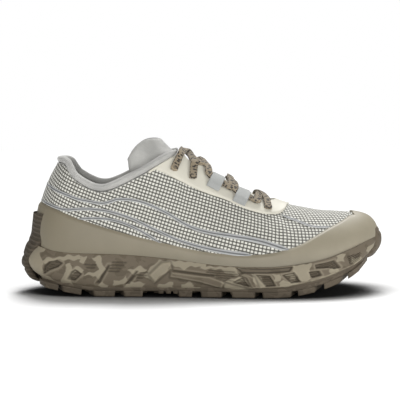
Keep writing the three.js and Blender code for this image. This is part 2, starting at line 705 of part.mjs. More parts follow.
// Carved windows and grooves, and raised ribs, on the midsole's side.
// Each corner is x as a share of SHOE_LENGTH and up as a share of the wall's height there.
const CARVED = [
  { depth: WINDOW_DEPTH, at: [[0.08, 0.47], [0.112, 0.73], [0.137, 0.25]] },
  { depth: WINDOW_DEPTH, at: [[0.15, 0.79], [0.198, 0.79], [0.218, 0.28], [0.18, 0.26]] },
  { depth: WINDOW_DEPTH, at: [[0.237, 0.72], [0.275, 0.78], [0.292, 0.42], [0.252, 0.36]] },
  { depth: WINDOW_DEPTH, at: [[0.318, 0.62], [0.347, 0.64], [0.353, 0.4], [0.323, 0.38]] },
  { depth: GROOVE_DEPTH, at: [[0.1, 0.97], [0.26, 0.97], [0.262, 0.83], [0.112, 0.8]] },
  { depth: GROOVE_DEPTH, at: [[0.345, 0.88], [0.4, 0.84], [0.395, 0.66], [0.35, 0.68]] },
  { depth: GROOVE_DEPTH, at: [[-0.288, 0.18], [-0.249, 0.8], [-0.243, 0.8], [-0.279, 0.18]] },
  { depth: GROOVE_DEPTH, at: [[-0.207, 0.18], [-0.172, 0.7], [-0.164, 0.7], [-0.197, 0.18]] },
  { depth: GROOVE_DEPTH, at: [[-0.375, 0.27], [-0.358, 0.62], [-0.35, 0.62], [-0.364, 0.27]] },
  { depth: GROOVE_DEPTH, at: [[-0.083, 0.62], [0.06, 0.6], [0.045, 0.48], [0, 0.5]] },
];
const RAISED = [
  { at: [[-0.141, 0.45], [-0.128, 0.18], [-0.078, 0.62], [-0.082, 0.95], [-0.108, 0.97], [-0.122, 0.82]] },
  { at: [[-0.07, 0.4], [0.03, 0.05], [0.09, 0.06], [0.075, 0.3], [0.055, 0.42], [-0.06, 0.66]] },
];

// A prism over a side outline, from inside the wall's surface to past it.
function sidePrism(side, corners, inside, outside) {
  const centre = corners.reduce((sum, [x]) => sum + x, 0) / corners.length;
  const points = corners.map(([share, up]) => {
    const x = footX(share);
    return new THREE.Vector2(x, lerp(midsoleBottom(x), rimTop(x), up));
  });
  const depth = inside + outside;
  const prism = new THREE.ExtrudeGeometry(new THREE.Shape(points), { depth, bevelEnabled: false });
  prism.rotateX(Math.PI / 2);
  const skew = soleWallY(side, footX(centre) + 1) - soleWallY(side, footX(centre) - 1);
  const near = soleWallY(side, footX(centre)) + (side < 0 ? inside : outside);
  const places = prism.getAttribute("position");
  for (let i = 0; i < places.count; i++) {
    const slope = (skew / 2) * (places.getX(i) - footX(centre));
    places.setY(i, places.getY(i) + near + slope);
  }
  return solidOf(prism);
}

function midsoleSolid(body, last) {
  let made = body;
  const bulk = soleForm(RIB_HEIGHT);
  for (const side of [-1, 1]) {
    for (const { at } of RAISED) {
      made = made.add(sidePrism(side, at, RIB_ROOT, RIB_HEIGHT).intersect(bulk));
    }
    for (const { depth, at } of CARVED) made = made.subtract(sidePrism(side, at, depth, RIB_ROOT));
  }
  return made.subtract(last);
}

// The tread's lugs. from and to are shares of SHOE_LENGTH along the shoe, in and out shares of the half width,
// and skew how far the inner end trails, as a share of SHOE_LENGTH.
const EDGE_LUGS = [
  { from: -0.425, to: -0.388, skew: 0.02 },
  { from: -0.375, to: -0.325, skew: 0.02 },
  { from: -0.29, to: -0.235, skew: 0.02 },
  { from: -0.21, to: -0.155, skew: 0.015 },
  { from: -0.057, to: -0.028, skew: 0.01 },
  { from: 0.01, to: 0.067, skew: -0.015 },
  { from: 0.09, to: 0.138, skew: -0.02 },
  { from: 0.165, to: 0.245, skew: -0.025 },
  { from: 0.26, to: 0.313, skew: -0.025 },
  { from: 0.33, to: 0.387, skew: -0.03 },
  { from: 0.402, to: 0.44, skew: -0.03 },
];
const CENTRE_LUGS = [-0.4, -0.34, -0.27, -0.2, -0.11, -0.02, 0.045, 0.115, 0.19, 0.255, 0.32, 0.385];
const NUBS = [-0.118, -0.098, -0.078, 0.075];
// How far out the lugs start and end, as shares of the half width.
const EDGE_REACH = { inner: 0.55, outer: 0.93 };
const NUB_REACH = { inner: 0.8, outer: 0.92 };
const CENTRE_REACH = 0.42;
// The x, as a share of SHOE_LENGTH, at which the chevrons turn round: they point back under the heel.
const CHEVRON_TURN = -0.15;

// A lug over a plan outline, its foot on the tread's curve and its root in the rubber sheet.
function lugPrism(corners) {
  const shape = new THREE.Shape(corners.map(([x, y]) => new THREE.Vector2(x, y)));
  const prism = new THREE.ExtrudeGeometry(shape, { depth: 1, bevelEnabled: false });
  const places = prism.getAttribute("position");
  for (let i = 0; i < places.count; i++) {
    const x = places.getX(i);
    places.setZ(i, places.getZ(i) < 0.5 ? treadLift(x) : sheetBottom(x) + RUBBER_SHEET / 2);
  }
  return solidOf(prism);
}

function treadLugs() {
  const lugs = [];
  const centreY = (x) => (soleWallY(-1, x) + soleWallY(1, x)) / 2;
  const reach = (side, x, share) => lerp(centreY(x), soleWallY(side, x), share);
  for (const side of [-1, 1]) {
    for (const { from, to, skew } of EDGE_LUGS) {
      const [a, b] = [footX(from), footX(to)];
      const lean = footX(skew);
      const corners = [
        [a, reach(side, a, EDGE_REACH.outer)],
        [b, reach(side, b, EDGE_REACH.outer)],
        [b - lean, reach(side, b - lean, EDGE_REACH.inner)],
        [a - lean, reach(side, a - lean, EDGE_REACH.inner)],
      ];
      lugs.push(lugPrism(side < 0 ? corners : corners.reverse()));
    }
    for (const share of NUBS) {
      const a = footX(share);
      const b = a + LUG_LENGTH / 2;
      const corners = [
        [a, reach(side, a, NUB_REACH.outer)],
        [b, reach(side, b, NUB_REACH.outer)],
        [b, reach(side, b, NUB_REACH.inner)],
        [a, reach(side, a, NUB_REACH.inner)],
      ];
      lugs.push(lugPrism(side < 0 ? corners : corners.reverse()));
    }
  }
  for (const share of CENTRE_LUGS) {
    const x = footX(share);
    const ahead = share < CHEVRON_TURN ? -1 : 1;
    const wing = CHEVRON_SWEEP * ahead;
    const corners = [
      [x, centreY(x)],
      [x - wing, reach(-1, x, CENTRE_REACH)],
      [x - wing + LUG_LENGTH, reach(-1, x, CENTRE_REACH)],
      [x + LUG_LENGTH, centreY(x)],
      [x - wing + LUG_LENGTH, reach(1, x, CENTRE_REACH)],
      [x - wing, reach(1, x, CENTRE_REACH)],
    ];
    lugs.push(lugPrism(corners));
  }
  return lugs;
}

// The rubber that climbs the heel and the toe: rows up its back, with x as a share of SHOE_LENGTH and z as one
// of the wrap's height.
const HEEL_WRAP = [
  { z: 0.12, x: -0.43 },
  { z: 0.13, x: -0.452 },
  { z: 0.16, x: -0.474 },
  { z: 0.22, x: -0.486 },
  { z: 0.3, x: -0.495 },
  { z: 0.37, x: -0.5 },
  { z: 0.46, x: -0.496 },
  { z: 0.58, x: -0.488 },
  { z: 0.72, x: -0.474 },
  { z: 0.84, x: -0.47 },
  { z: 1, x: -0.466 },
];
const TOE_WRAP = [
  { z: 0.47, x: 0.45 },
  { z: 0.5, x: 0.473 },
  { z: 0.58, x: 0.488 },
  { z: 0.68, x: 0.498 },
  { z: 0.77, x: 0.5 },
  { z: 0.86, x: 0.497 },
  { z: 0.95, x: 0.487 },
  { z: 1, x: 0.476 },
];

// How far from the middle the tabs are rooted in the sole, as a share of SHOE_LENGTH.
const WRAP_ROOT = 0.36;
const WRAP_COLUMNS = 6;

// A tab whose outside follows the rows in side view and rounds off towards its edges.
function wrapForm(rows, height, middle, direction) {
  const skin = new Skin();
  const across = spread(-1, 1, WRAP_COLUMNS);
  const rootX = direction * footX(WRAP_ROOT);
  const outside = rows.map(({ z, x }) =>
    across.map((share) => {
      const fall = share * share * WRAP_ROUNDING;
      return new THREE.Vector3(x * SHOE_LENGTH - direction * fall, middle + (share * WRAP_WIDTH) / 2, z * height);
    }),
  );
  const inside = outside.map((row) => row.map((p) => new THREE.Vector3(rootX, p.y, p.z)));
  const flip = direction < 0;
  const last = rows.length - 1;
  const width = across.length - 1;
  for (let i = 0; i < last; i++) {
    for (let j = 0; j < width; j++) {
      skin.face(flip, outside[i][j], outside[i][j + 1], outside[i + 1][j + 1], outside[i + 1][j]);
      skin.face(!flip, inside[i][j], inside[i][j + 1], inside[i + 1][j + 1], inside[i + 1][j]);
    }
    skin.face(flip, outside[i][0], outside[i + 1][0], inside[i + 1][0], inside[i][0]);
    skin.face(!flip, outside[i][width], outside[i + 1][width], inside[i + 1][width], inside[i][width]);
  }
  for (let j = 0; j < width; j++) {
    skin.face(flip, outside[last][j], outside[last][j + 1], inside[last][j + 1], inside[last][j]);
    skin.face(!flip, outside[0][j], outside[0][j + 1], inside[0][j + 1], inside[0][j]);
  }
  return solidOf(skin.geometry());
}

function outsoleSolid(clearance) {
    const sheet = stackRings([
    soleRing(-FIT_GAP, "low", sheetBottom),
    soleRing(FIT_GAP, "low", (x) => midsoleBottom(x) + SHEET_LAP),
  ]);
  const heelY = SOLE_ROWS[0].lat * SOLE_WIDTH;
  const toeY = SOLE_ROWS[SOLE_ROWS.length - 1].lat * SOLE_WIDTH;
  let made = sheet
    .add(wrapForm(HEEL_WRAP, HEEL_WRAP_HEIGHT, heelY, -1))
    .add(wrapForm(TOE_WRAP, TOE_WRAP_HEIGHT, toeY, 1));
  for (const lug of treadLugs()) made = made.add(lug);
  made = made.subtract(soleForm(FIT_GAP)).subtract(clearance);
  const bodies = made.decompose().sort((a, b) => b.volume() - a.volume());
  return bodies[0];
}

// The insole: a pad on the footbed, a wall and a gap inside the upper.
function insoleSolid() {
  const inset = UPPER_WALL + FIT_GAP;
  const ring = (grow, lift) =>
    spread(0, 2 * LAST_ROW, INSOLE_STATIONS).slice(0, -1).map((at) => {
      const [outX, outY] = outward(UPPER_RINGS.footX, UPPER_RINGS.footY, at);
      const x = roundRing(UPPER_RINGS.footX, at) * SHOE_LENGTH + outX * (grow - inset);
      const y = roundRing(UPPER_RINGS.footY, at) * SOLE_WIDTH + outY * (grow - inset);
      return new THREE.Vector3(x, y, footbed(x) + lift);
    });
  return stackRings([ring(0, 0), ring(0, INSOLE_THICKNESS * 0.5), ring(-INSOLE_CHAMFER, INSOLE_THICKNESS)]);
}

// The collar's padded edge, a round bead along the collar line from one side of the throat to the other.
function bindingGeometry(radius) {
  const path = [];
  for (const t of spread(COLLAR_STOP, 0, 22)) path.push(upperPoint(-1, t, 1));
  for (const t of spread(0, COLLAR_STOP, 22).slice(1)) path.push(upperPoint(1, t, 1));
  const curve = new THREE.CatmullRomCurve3(path);
  const section = new THREE.Shape();
  for (let i = 0; i < BINDING_SIDES; i++) {
    const angle = (2 * Math.PI * i) / BINDING_SIDES;
    const [x, y] = [radius * Math.cos(angle), radius * Math.sin(angle)];
    if (i) section.lineTo(x, y);
    else section.moveTo(x, y);
  }
  return new THREE.ExtrudeGeometry(section, { steps: BINDING_STEPS, bevelEnabled: false, extrudePath: curve });
}

// The tongue, as sections from its toe end to its top. The first ones lie under the upper at a station of it;
// the others stand free. x and z place the middle of those, half is a half width, back and fall say how far their
// edges sweep back and down, pad is the thickness and under the clearance. x and back are shares of SHOE_LENGTH,
// z and fall of UPPER_RISE, half of SOLE_WIDTH, pad of TONGUE_THICKNESS and under of TONGUE_CLEARANCE.
const TONGUE_ROWS = [
  { station: 8.45, half: 0.13, pad: 0.6, under: 2 },
  { station: 7.9, half: 0.17, pad: 0.7, under: 1.4 },
  { station: 7.3, half: 0.19, pad: 0.8, under: 1 },
  { station: 6.7, half: 0.205, pad: 0.9, under: 1 },
  { station: 6.15, half: 0.21, pad: 1, under: 1.2 },
  { x: -0.058, z: 1.39, half: 0.19, back: 0.055, fall: 0.2, pad: 1.2 },
  { x: -0.09, z: 1.475, half: 0.205, back: 0.09, fall: 0.27, pad: 1.5 },
  { x: -0.114, z: 1.58, half: 0.195, back: 0.08, fall: 0.3, pad: 1.2 },
];
const TONGUE_ACROSS = 10;
const TONGUE_SPLITS = 2;

function tongueRow(row) {
  return spread(-1, 1, TONGUE_ACROSS).map((share) => {
    const side = share < 0 ? -1 : 1;
    if (row.station) {
      const v = vBelowRidge(side, row.station, Math.abs(share) * row.half);
      return offsetPoint(side, row.station, v, -UPPER_WALL - row.under * TONGUE_CLEARANCE);
    }
    return new THREE.Vector3(
      footX(row.x - row.back * (1 - Math.cos((share * Math.PI) / 2))),
      ridgeY(RIDGE_ROW) + row.half * SOLE_WIDTH * Math.sin((share * Math.PI) / 2),
      UPPER_RISE * (row.z - row.fall * Math.abs(share) ** TONGUE_LOBE),
    );
  });
}

function tongueSolid() {
  const control = TONGUE_ROWS.map(tongueRow);
  const columns = control[0].map((_, k) => new THREE.CatmullRomCurve3(control.map((row) => row[k])));
  const count = (TONGUE_ROWS.length - 1) * TONGUE_SPLITS;
  const outer = spread(0, 1, count).map((u) => columns.map((curve) => curve.getPoint(u)));
  const inner = outer.map((row, i) =>
    row.map((p, k) => {
      const up = outer[Math.min(i + 1, count)][k].clone().sub(outer[Math.max(i - 1, 0)][k]);
      const over = row[Math.min(k + 1, TONGUE_ACROSS)].clone().sub(row[Math.max(k - 1, 0)]);
      const index = Math.min(i / TONGUE_SPLITS, TONGUE_ROWS.length - 1);
      const pad = TONGUE_THICKNESS * TONGUE_ROWS[Math.floor(index)].pad;
      const thin = 1 - TONGUE_EDGE * Math.abs((2 * k) / TONGUE_ACROSS - 1) ** 4;
      return p.clone().addScaledVector(up.cross(over).normalize(), pad * thin);
    }),
  );
  return loft(outer.map((row, i) => [...inner[i], ...row.slice().reverse()]));
}

// A flat strip through stops, each with its point, its normal, and the strip's width and height there.
function ribbon(stops) {
  const sections = stops.map(({ point, normal, width, height }, i) => {
    const before = stops[Math.max(i - 1, 0)].point;
    const after = stops[Math.min(i + 1, stops.length - 1)].point;
    const across = after.clone().sub(before).cross(normal).normalize().multiplyScalar(width / 2);
    const up = normal.clone().multiplyScalar(height);
    const right = point.clone().add(across);
    const left = point.clone().sub(across);
    return [right, right.clone().add(up), left.clone().add(up), left];
  });
  return loft(sections);
}

// A length of lace between two places; over is how much higher it runs where it crosses the ridge.
function laceBetween(from, to, over, grow) {
  const signed = ({ side, v }) => side * (1 - v);
  const stops = spread(0, 1, CROSSING_STEPS).map((u) => {
    const w = lerp(signed(from), signed(to), u);
    const place = { side: w < 0 ? -1 : 1, t: lerp(from.t, to.t, u), v: 1 - Math.abs(w) };
    return laceStop(place, over * Math.sin(Math.PI * u) ** 2, grow);
  });
  return ribbon(stops);
}

// A stop of the lace over a place, raised by over and larger all round by grow.
const laceStop = (place, over, grow) => ({
  ...standOff(place, LACE_LIFT + over - grow),
  width: LACE_WIDTH + 2 * grow,
  height: LACE_THICKNESS + 2 * grow,
});

// The lace: four crossings a side between the eyelets and the loops, and its ends in the eyelets.
function laceForm(grow) {
  const half = (LOOP_WIDTH / 2 + LACE_WIDTH / 2) / SHOE_LENGTH;
  const mouth = (side, loop, way) => placeDown(side, loop.x + way * half, LACE_LINE);
  const [upperLoop, lowerLoop] = LOOPS;
  const lengths = [];
  for (const side of [-1, 1]) {
    const over = side < 0 ? LACE_THICKNESS : 0;
    lengths.push(laceBetween(placeUp(side, LOW_EYELET), mouth(-side, lowerLoop, 1), over, grow));
    lengths.push(laceBetween(mouth(-side, lowerLoop, -1), mouth(side, upperLoop, 1), over, grow));
    lengths.push(laceBetween(mouth(side, upperLoop, -1), placeUp(-side, SECOND_EYELET), over, grow));
    for (const loop of LOOPS) {
      const run = [-1, 0, 1].map((way) => laceStop(mouth(side, loop, way), 0, grow));
      lengths.push(ribbon(run));
    }
    lengths.push(topCrossing(side, over, grow));
    for (const row of EYELETS) lengths.push(laceEnd(side, row));
  }
  return lengths.slice(1).reduce((sum, next) => sum.add(next), lengths[0]);
}

const laceEnd = (side, row) =>
  pinAt(placeUp(side, row), EYELET_RADIUS - FIT_GAP, -UPPER_WALL / 2, LACE_LIFT + LACE_THICKNESS / 2);

// The crossing over the tongue, from a top eyelet to the second one across.
function topCrossing(side, over, grow) {
  const climb = (way, row, edgeX) => {
    const eyelet = placeUp(way, row);
    const t = stationAt(way, footX(edgeX), 1);
    const edge = topEdge(way, t);
    return spread(0, 1, 2).map((u) => {
      const place = { side: way, t: lerp(eyelet.t, t, u), v: lerp(eyelet.v, edge, u) };
      return laceStop(place, u * EDGE_RISE, grow);
    });
  };
  const middle = {
    point: new THREE.Vector3(footX(TOP_CROSSING.x), 0, TOP_CROSSING.z * UPPER_RISE + over - grow),
    normal: new THREE.Vector3(0, 0, 1),
    width: LACE_WIDTH + 2 * grow,
    height: LACE_THICKNESS + 2 * grow,
  };
  const near = climb(side, TOP_EYELET, TOP_CROSSING.fromEdge);
  const far = climb(-side, SECOND_EYELET, TOP_CROSSING.toEdge);
  return ribbon([...near, middle, ...far.reverse()]);
}

// A loop of webbing sewn to the eyestay, with the lace's way through it cut out.
function laceLoopSolid(side, loop, laceWay) {
  const base = 2 * FIT_GAP + EYESTAY_THICKNESS;
  const stops = LOOP_ROWS.map(({ down, ahead, height }) => ({
    ...standOff(placeDown(side, loop.x + ahead, down), base),
    width: LOOP_WIDTH,
    height,
  }));
  return ribbon(stops).subtract(laceWay);
}

const MATERIALS = {
  rubber: { color: 0x776b5c, roughness: 0.85, metalness: 0 },
  foam: { color: 0x958b76, roughness: 0.8, metalness: 0 },
  mesh: { color: 0xcfcdc2, roughness: 0.75, metalness: 0 },
  rand: { color: 0x9a907b, roughness: 0.6, metalness: 0 },
  eyestay: { color: 0xcdc8b8, roughness: 0.6, metalness: 0 },
  knit: { color: 0xb4b4b2, roughness: 0.9, metalness: 0 },
  film: { color: 0x9b9c9c, roughness: 0.5, metalness: 0 },
  lace: { color: 0xa39a8a, roughness: 0.9, metalness: 0 },
};

function piece(name, geometry, material) {
  const mesh = new THREE.Mesh(geometry, new THREE.MeshStandardMaterial(MATERIALS[material]));
  mesh.name = name;
  return mesh;
}

const shoe = new THREE.Group();
shoe.name = "trail_running_shoe";
const overRand = lastForm(2 * FIT_GAP + RAND_THICKNESS, 0);
shoe.add(piece("upper", geometryOf(upperSolid()), "mesh"));
shoe.add(piece("midsole", geometryOf(midsoleSolid(soleForm(0), lastForm(FIT_GAP, FIT_GAP))), "foam"));
shoe.add(piece("outsole", geometryOf(outsoleSolid(overRand)), "rubber"));
shoe.add(piece("rand", geometryOf(randSolid()), "rand"));
shoe.add(piece("eyestay", geometryOf(eyestaySolid()), "eyestay"));
shoe.add(piece("insole", geometryOf(insoleSolid()), "knit"));
shoe.add(piece("collar_binding", bindingGeometry(BINDING_RADIUS), "knit"));
shoe.add(piece("tongue", geometryOf(tongueSolid()), "knit"));
shoe.add(piece("lace", geometryOf(laceForm(0)), "lace"));
const laceWay = laceForm(FIT_GAP);
LOOPS.forEach((loop, i) => {
  shoe.add(piece(`lace_loop_lateral_${i + 1}`, geometryOf(laceLoopSolid(-1, loop, laceWay)), "film"));
  shoe.add(piece(`lace_loop_medial_${i + 1}`, geometryOf(laceLoopSolid(1, loop, laceWay)), "film"));
});
export default shoe;
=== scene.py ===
"""The visual pieces of a low trail running shoe, right foot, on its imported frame. Lengths are in metres."""

import math

import bmesh
import bpy
import numpy as np
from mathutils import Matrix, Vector


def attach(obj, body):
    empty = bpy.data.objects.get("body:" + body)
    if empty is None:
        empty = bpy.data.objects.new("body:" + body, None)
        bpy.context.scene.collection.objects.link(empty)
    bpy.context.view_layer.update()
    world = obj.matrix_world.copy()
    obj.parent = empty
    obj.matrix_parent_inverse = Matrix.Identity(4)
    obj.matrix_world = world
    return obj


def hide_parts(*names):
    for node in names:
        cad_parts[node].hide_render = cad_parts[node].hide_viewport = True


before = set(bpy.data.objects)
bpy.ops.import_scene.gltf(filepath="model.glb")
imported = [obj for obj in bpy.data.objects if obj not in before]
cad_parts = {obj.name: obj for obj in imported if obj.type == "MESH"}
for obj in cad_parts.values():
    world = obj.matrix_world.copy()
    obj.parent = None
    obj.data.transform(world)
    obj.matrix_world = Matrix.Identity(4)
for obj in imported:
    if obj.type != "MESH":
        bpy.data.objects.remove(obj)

bl_info = {
    "name": "Trail running shoe",
    "version": (1, 0, 0),
    "blender": (4, 5, 0),
    "location": "View3D > Sidebar > Shoe",
    "description": "Builds the shoe's fabric, film, foam, rubber, lacing and stage on the packed frame",
    "category": "Add Mesh",
}

BODY = "root"

# Sections of the upper, from the heel's centre line to the toe's.
# The x columns are shares of the shoe's length, the lat, med, belly and roof ones of the sole's width, and
# the rises of the upper's rise. belly_up and roof_down are shares of the section's own rise.
UPPER_COLUMNS = (
    "foot_x", "foot_lat", "foot_med", "top_x", "top_lat", "top_med",
    "rise_lat", "rise_med", "belly", "belly_up", "roof", "roof_down",
)
UPPER_ROWS = (
    (-0.443, -0.023, -0.023, -0.39, -0.023, -0.023, 1, 1, 0.102, 0.28, 0.13, 0.22),
    (-0.423, -0.21, 0.162, -0.366, -0.165, 0.12, 0.98, 0.98, 0.09, 0.28, 0.1, 0.2),
    (-0.373, -0.3, 0.25, -0.337, -0.238, 0.2, 0.83, 0.84, 0.072, 0.3, 0.065, 0.25),
    (-0.283, -0.338, 0.287, -0.268, -0.28, 0.255, 0.735, 0.75, 0.055, 0.33, 0.037, 0.3),
    (-0.167, -0.347, 0.282, -0.18, -0.278, 0.255, 0.895, 0.91, 0.046, 0.3, 0.046, 0.3),
    (-0.067, -0.366, 0.292, -0.08, -0.213, 0.194, 1.14, 1.14, 0.046, 0.3, 0.083, 0.2),
    (0, -0.394, 0.32, -0.027, 0, 0, 1.2, 1.2, 0.037, 0.35, 0.19, 0.04),
    (0.1, -0.43, 0.38, 0.083, 0.014, 0.014, 0.95, 0.95, 0.035, 0.4, 0.19, 0.02),
    (0.207, -0.449, 0.44, 0.2, 0.023, 0.023, 0.69, 0.69, 0.032, 0.42, 0.22, 0),
    (0.31, -0.398, 0.449, 0.293, 0.042, 0.042, 0.55, 0.55, 0.035, 0.45, 0.22, 0),
    (0.393, -0.282, 0.384, 0.362, 0.06, 0.06, 0.425, 0.425, 0.042, 0.45, 0.19, 0),
    (0.453, -0.111, 0.278, 0.408, 0.074, 0.074, 0.33, 0.33, 0.05, 0.42, 0.16, 0),
    (0.478, 0.093, 0.093, 0.43, 0.083, 0.083, 0.285, 0.285, 0.055, 0.4, 0.125, 0),
)
RIDGE_ROW = 6
THROAT_ROW = 8
THROAT_START = 4.5
LAST_ROW = len(UPPER_ROWS) - 1

# The sole's outline at its widest, and how far it draws in below and above that.
SOLE_COLUMNS = ("x", "lat", "med", "low", "high")
SOLE_ROWS = (
    (-0.484, -0.023, -0.023, 0.12, 0.065),
    (-0.463, -0.222, 0.176, 0.085, 0.05),
    (-0.403, -0.345, 0.301, 0.045, 0.034),
    (-0.3, -0.396, 0.354, 0.03, 0.03),
    (-0.183, -0.403, 0.347, 0.024, 0.026),
    (-0.05, -0.421, 0.356, 0.024, 0.026),
    (0.083, -0.472, 0.426, 0.028, 0.024),
    (0.193, -0.499, 0.484, 0.028, 0.024),
    (0.3, -0.462, 0.499, 0.028, 0.02),
    (0.393, -0.338, 0.44, 0.032, 0.014),
    (0.46, -0.148, 0.319, 0.037, 0.006),
    (0.489, 0.093, 0.093, 0.045, 0.002),
)
SOLE_END = len(SOLE_ROWS) - 1

# Heights along the shoe, as pairs of x and value.
FOOTBED_HEEL = (
    (-0.5, 1), (-0.45, 1), (-0.4, 0.99), (-0.34, 0.98), (-0.22, 0.88), (-0.08, 0.48), (0.04, 0.1),
    (0.16, 0), (0.24, 0), (0.33, 0), (0.4, 0), (0.46, 0), (0.5, 0),
)
FOOTBED_TOE = (
    (-0.5, 0), (-0.45, 0), (-0.4, 0), (-0.34, 0), (-0.22, 0), (-0.08, 0), (0.04, 0), (0.16, 0),
    (0.24, 0.07), (0.33, 0.28), (0.4, 0.62), (0.46, 0.93), (0.5, 1.1),
)
RIM_ROWS = (
    (-0.5, 2.1), (-0.45, 1.9), (-0.4, 1.3), (-0.34, 1.1), (-0.22, 1.1), (-0.08, 1.15), (0.04, 1),
    (0.16, 0.97), (0.24, 1), (0.33, 1), (0.4, 0.95), (0.46, 0.9), (0.5, 0.8),
)
ROCKER_ROWS = (
    (-0.5, 0.5), (-0.47, 0.28), (-0.44, 0.2), (-0.39, 0.12), (-0.34, 0.05), (-0.29, 0), (0.2, 0),
    (0.26, 0.05), (0.31, 0.14), (0.36, 0.27), (0.41, 0.45), (0.46, 0.75), (0.5, 1.05),
)
RAND_ROWS = (
    (-0.46, 0.57), (-0.42, 0.545), (-0.35, 0.445), (-0.27, 0.35), (-0.2, 0.285), (-0.11, 0.235),
    (-0.03, 0.2), (0.05, 0.185), (0.12, 0.185), (0.18, 0.2), (0.24, 0.235), (0.27, 0.265),
    (0.3, 0.305), (0.34, 0.345), (0.38, 0.358), (0.41, 0.375), (0.43, 0.4),
)
RAND_CROSSING = 0.424
RAND_CLOSING = 10.6
EYESTAY_ROWS = (
    (-0.16, 1.02), (-0.143, 0.981), (-0.123, 0.951), (-0.09, 0.905), (-0.02, 0.801), (0.017, 0.76),
    (0.06, 0.716), (0.117, 0.628), (0.167, 0.578), (0.207, 0.567), (0.227, 0.604), (0.237, 0.66),
)
EYESTAY_FROM = -0.145
EYESTAY_TO = 0.238
EYESTAY_TIP = 0.03

# The lacing up one side of the throat, from its top.
TOP_EYELET = (-0.0775, 0.984)
SECOND_EYELET = (-0.0275, 0.915)
LOW_EYELET = (0.176, 0.625)
LOOPS = (0.0447, 0.1156)
LACE_LINE = 0.232
TOP_CROSSING = {"from_edge": -0.064, "to_edge": -0.024, "x": -0.044, "z": 1.425}

# The tongue's sections: the first ones lie under the upper at a station of it, as station, half, pad, under.
TONGUE_UNDER = (
    (8.45, 0.13, 0.6, 2),
    (7.9, 0.17, 0.7, 1.4),
    (7.3, 0.19, 0.8, 1),
    (6.7, 0.205, 0.9, 1),
    (6.15, 0.21, 1, 1.2),
)
# The others stand free, as x, z, half, back, fall, pad.
TONGUE_FREE = (
    (-0.058, 1.39, 0.19, 0.06, 0.2, 1.2),
    (-0.092, 1.48, 0.205, 0.1, 0.25, 1.5),
    (-0.117, 1.585, 0.19, 0.088, 0.22, 1.2),
)

# Film lines that flow along the upper, as x and height pairs.
FLOW_HIGH = (
    (-0.43, 0.755), (-0.395, 0.695), (-0.362, 0.65), (-0.335, 0.615), (-0.3, 0.592), (-0.273, 0.578),
    (-0.256, 0.586),
    (-0.243, 0.604), (-0.23, 0.622), (-0.21, 0.628), (-0.186, 0.628), (-0.163, 0.616), (-0.14, 0.594),
    (-0.12, 0.568),
    (-0.096, 0.534), (-0.073, 0.492), (-0.05, 0.447), (-0.018, 0.407), (0.015, 0.388), (0.047, 0.376),
    (0.086, 0.361),
    (0.127, 0.34), (0.167, 0.306), (0.207, 0.252), (0.23, 0.22),
)
FLOW_MIDDLE = (
    (-0.442, 0.59), (-0.412, 0.55), (-0.387, 0.522), (-0.364, 0.506), (-0.346, 0.513), (-0.323, 0.518),
    (-0.3, 0.519),
    (-0.278, 0.512), (-0.255, 0.503), (-0.233, 0.487), (-0.21, 0.466), (-0.186, 0.44), (-0.164, 0.409),
    (-0.141, 0.376), (-0.119, 0.346), (-0.096, 0.316), (-0.073, 0.285), (-0.034, 0.252), (0.006, 0.23),
    (0.047, 0.212),
    (0.09, 0.196), (0.13, 0.185),
)
FLOW_LOW = (
    (-0.336, 0.417), (-0.312, 0.425), (-0.288, 0.429), (-0.265, 0.427), (-0.243, 0.418), (-0.22, 0.401),
    (-0.198, 0.377), (-0.176, 0.346), (-0.153, 0.308), (-0.13, 0.264), (-0.111, 0.225),
)
FLOW_VAMP = (
    (0.215, 0.552), (0.237, 0.513), (0.263, 0.467), (0.29, 0.414), (0.313, 0.385), (0.329, 0.369),
    (0.348, 0.352),
)

# Slopes of the cloth's threads along the shoe, as rise over run.
WEFT_SLOPE = (
    (-0.45, 0.46), (-0.39, 0.43), (-0.32, 0.38), (-0.19, 0.33), (-0.1, 0.325), (0, 0.29), (0.1, 0.25),
    (0.18, 0.18),
    (0.27, 0.05), (0.45, 0),
)
WARP_LEAN = (
    (-0.45, 0.4), (-0.32, 0.36), (-0.19, 0.31), (-0.1, 0.3), (0, 0.28), (0.1, 0.2), (0.18, 0.12),
    (0.27, 0), (0.45, 0),
)
# The station and the height from which the cloth's threads are counted.
CLOTH_STATION = 4.2
CLOTH_FOOT = 0.3
CLOTH_HEIGHT = 0.065

# Carved and raised forms on the midsole's side: x as a share of the length, up as one of the wall's height.
WINDOWS = (
    ((-0.433, 0.2), (-0.427, 0.46), (-0.412, 0.66), (-0.391, 0.75), (-0.375, 0.68), (-0.387, 0.54),
     (-0.41, 0.39),
     (-0.425, 0.22)),
    ((-0.363, 0.18), (-0.351, 0.45), (-0.341, 0.53), (-0.323, 0.41), (-0.342, 0.18)),
    ((0.079, 0.34), (0.106, 0.57), (0.125, 0.15)),
    ((0.141, 0.69), (0.178, 0.65), (0.194, 0.21), (0.168, 0.18)),
    ((0.212, 0.66), (0.243, 0.72), (0.26, 0.29), (0.235, 0.28)),
    ((0.282, 0.64), (0.31, 0.58), (0.318, 0.35), (0.291, 0.35)),
    ((0.3, 0.88), (0.352, 0.84), (0.37, 0.38), (0.352, 0.44), (0.338, 0.6), (0.302, 0.72)),
)
GROOVES = (
    ((0.088, 0.97), (0.24, 0.96), (0.232, 0.77), (0.104, 0.75)),
    ((-0.285, 0.17), (-0.252, 0.7), (-0.247, 0.7), (-0.275, 0.17)),
    ((-0.207, 0.14), (-0.178, 0.56), (-0.171, 0.56), (-0.196, 0.14)),
    ((-0.08, 0.66), (-0.02, 0.64), (0.03, 0.62), (0.03, 0.56), (-0.02, 0.58), (-0.08, 0.61)),
)
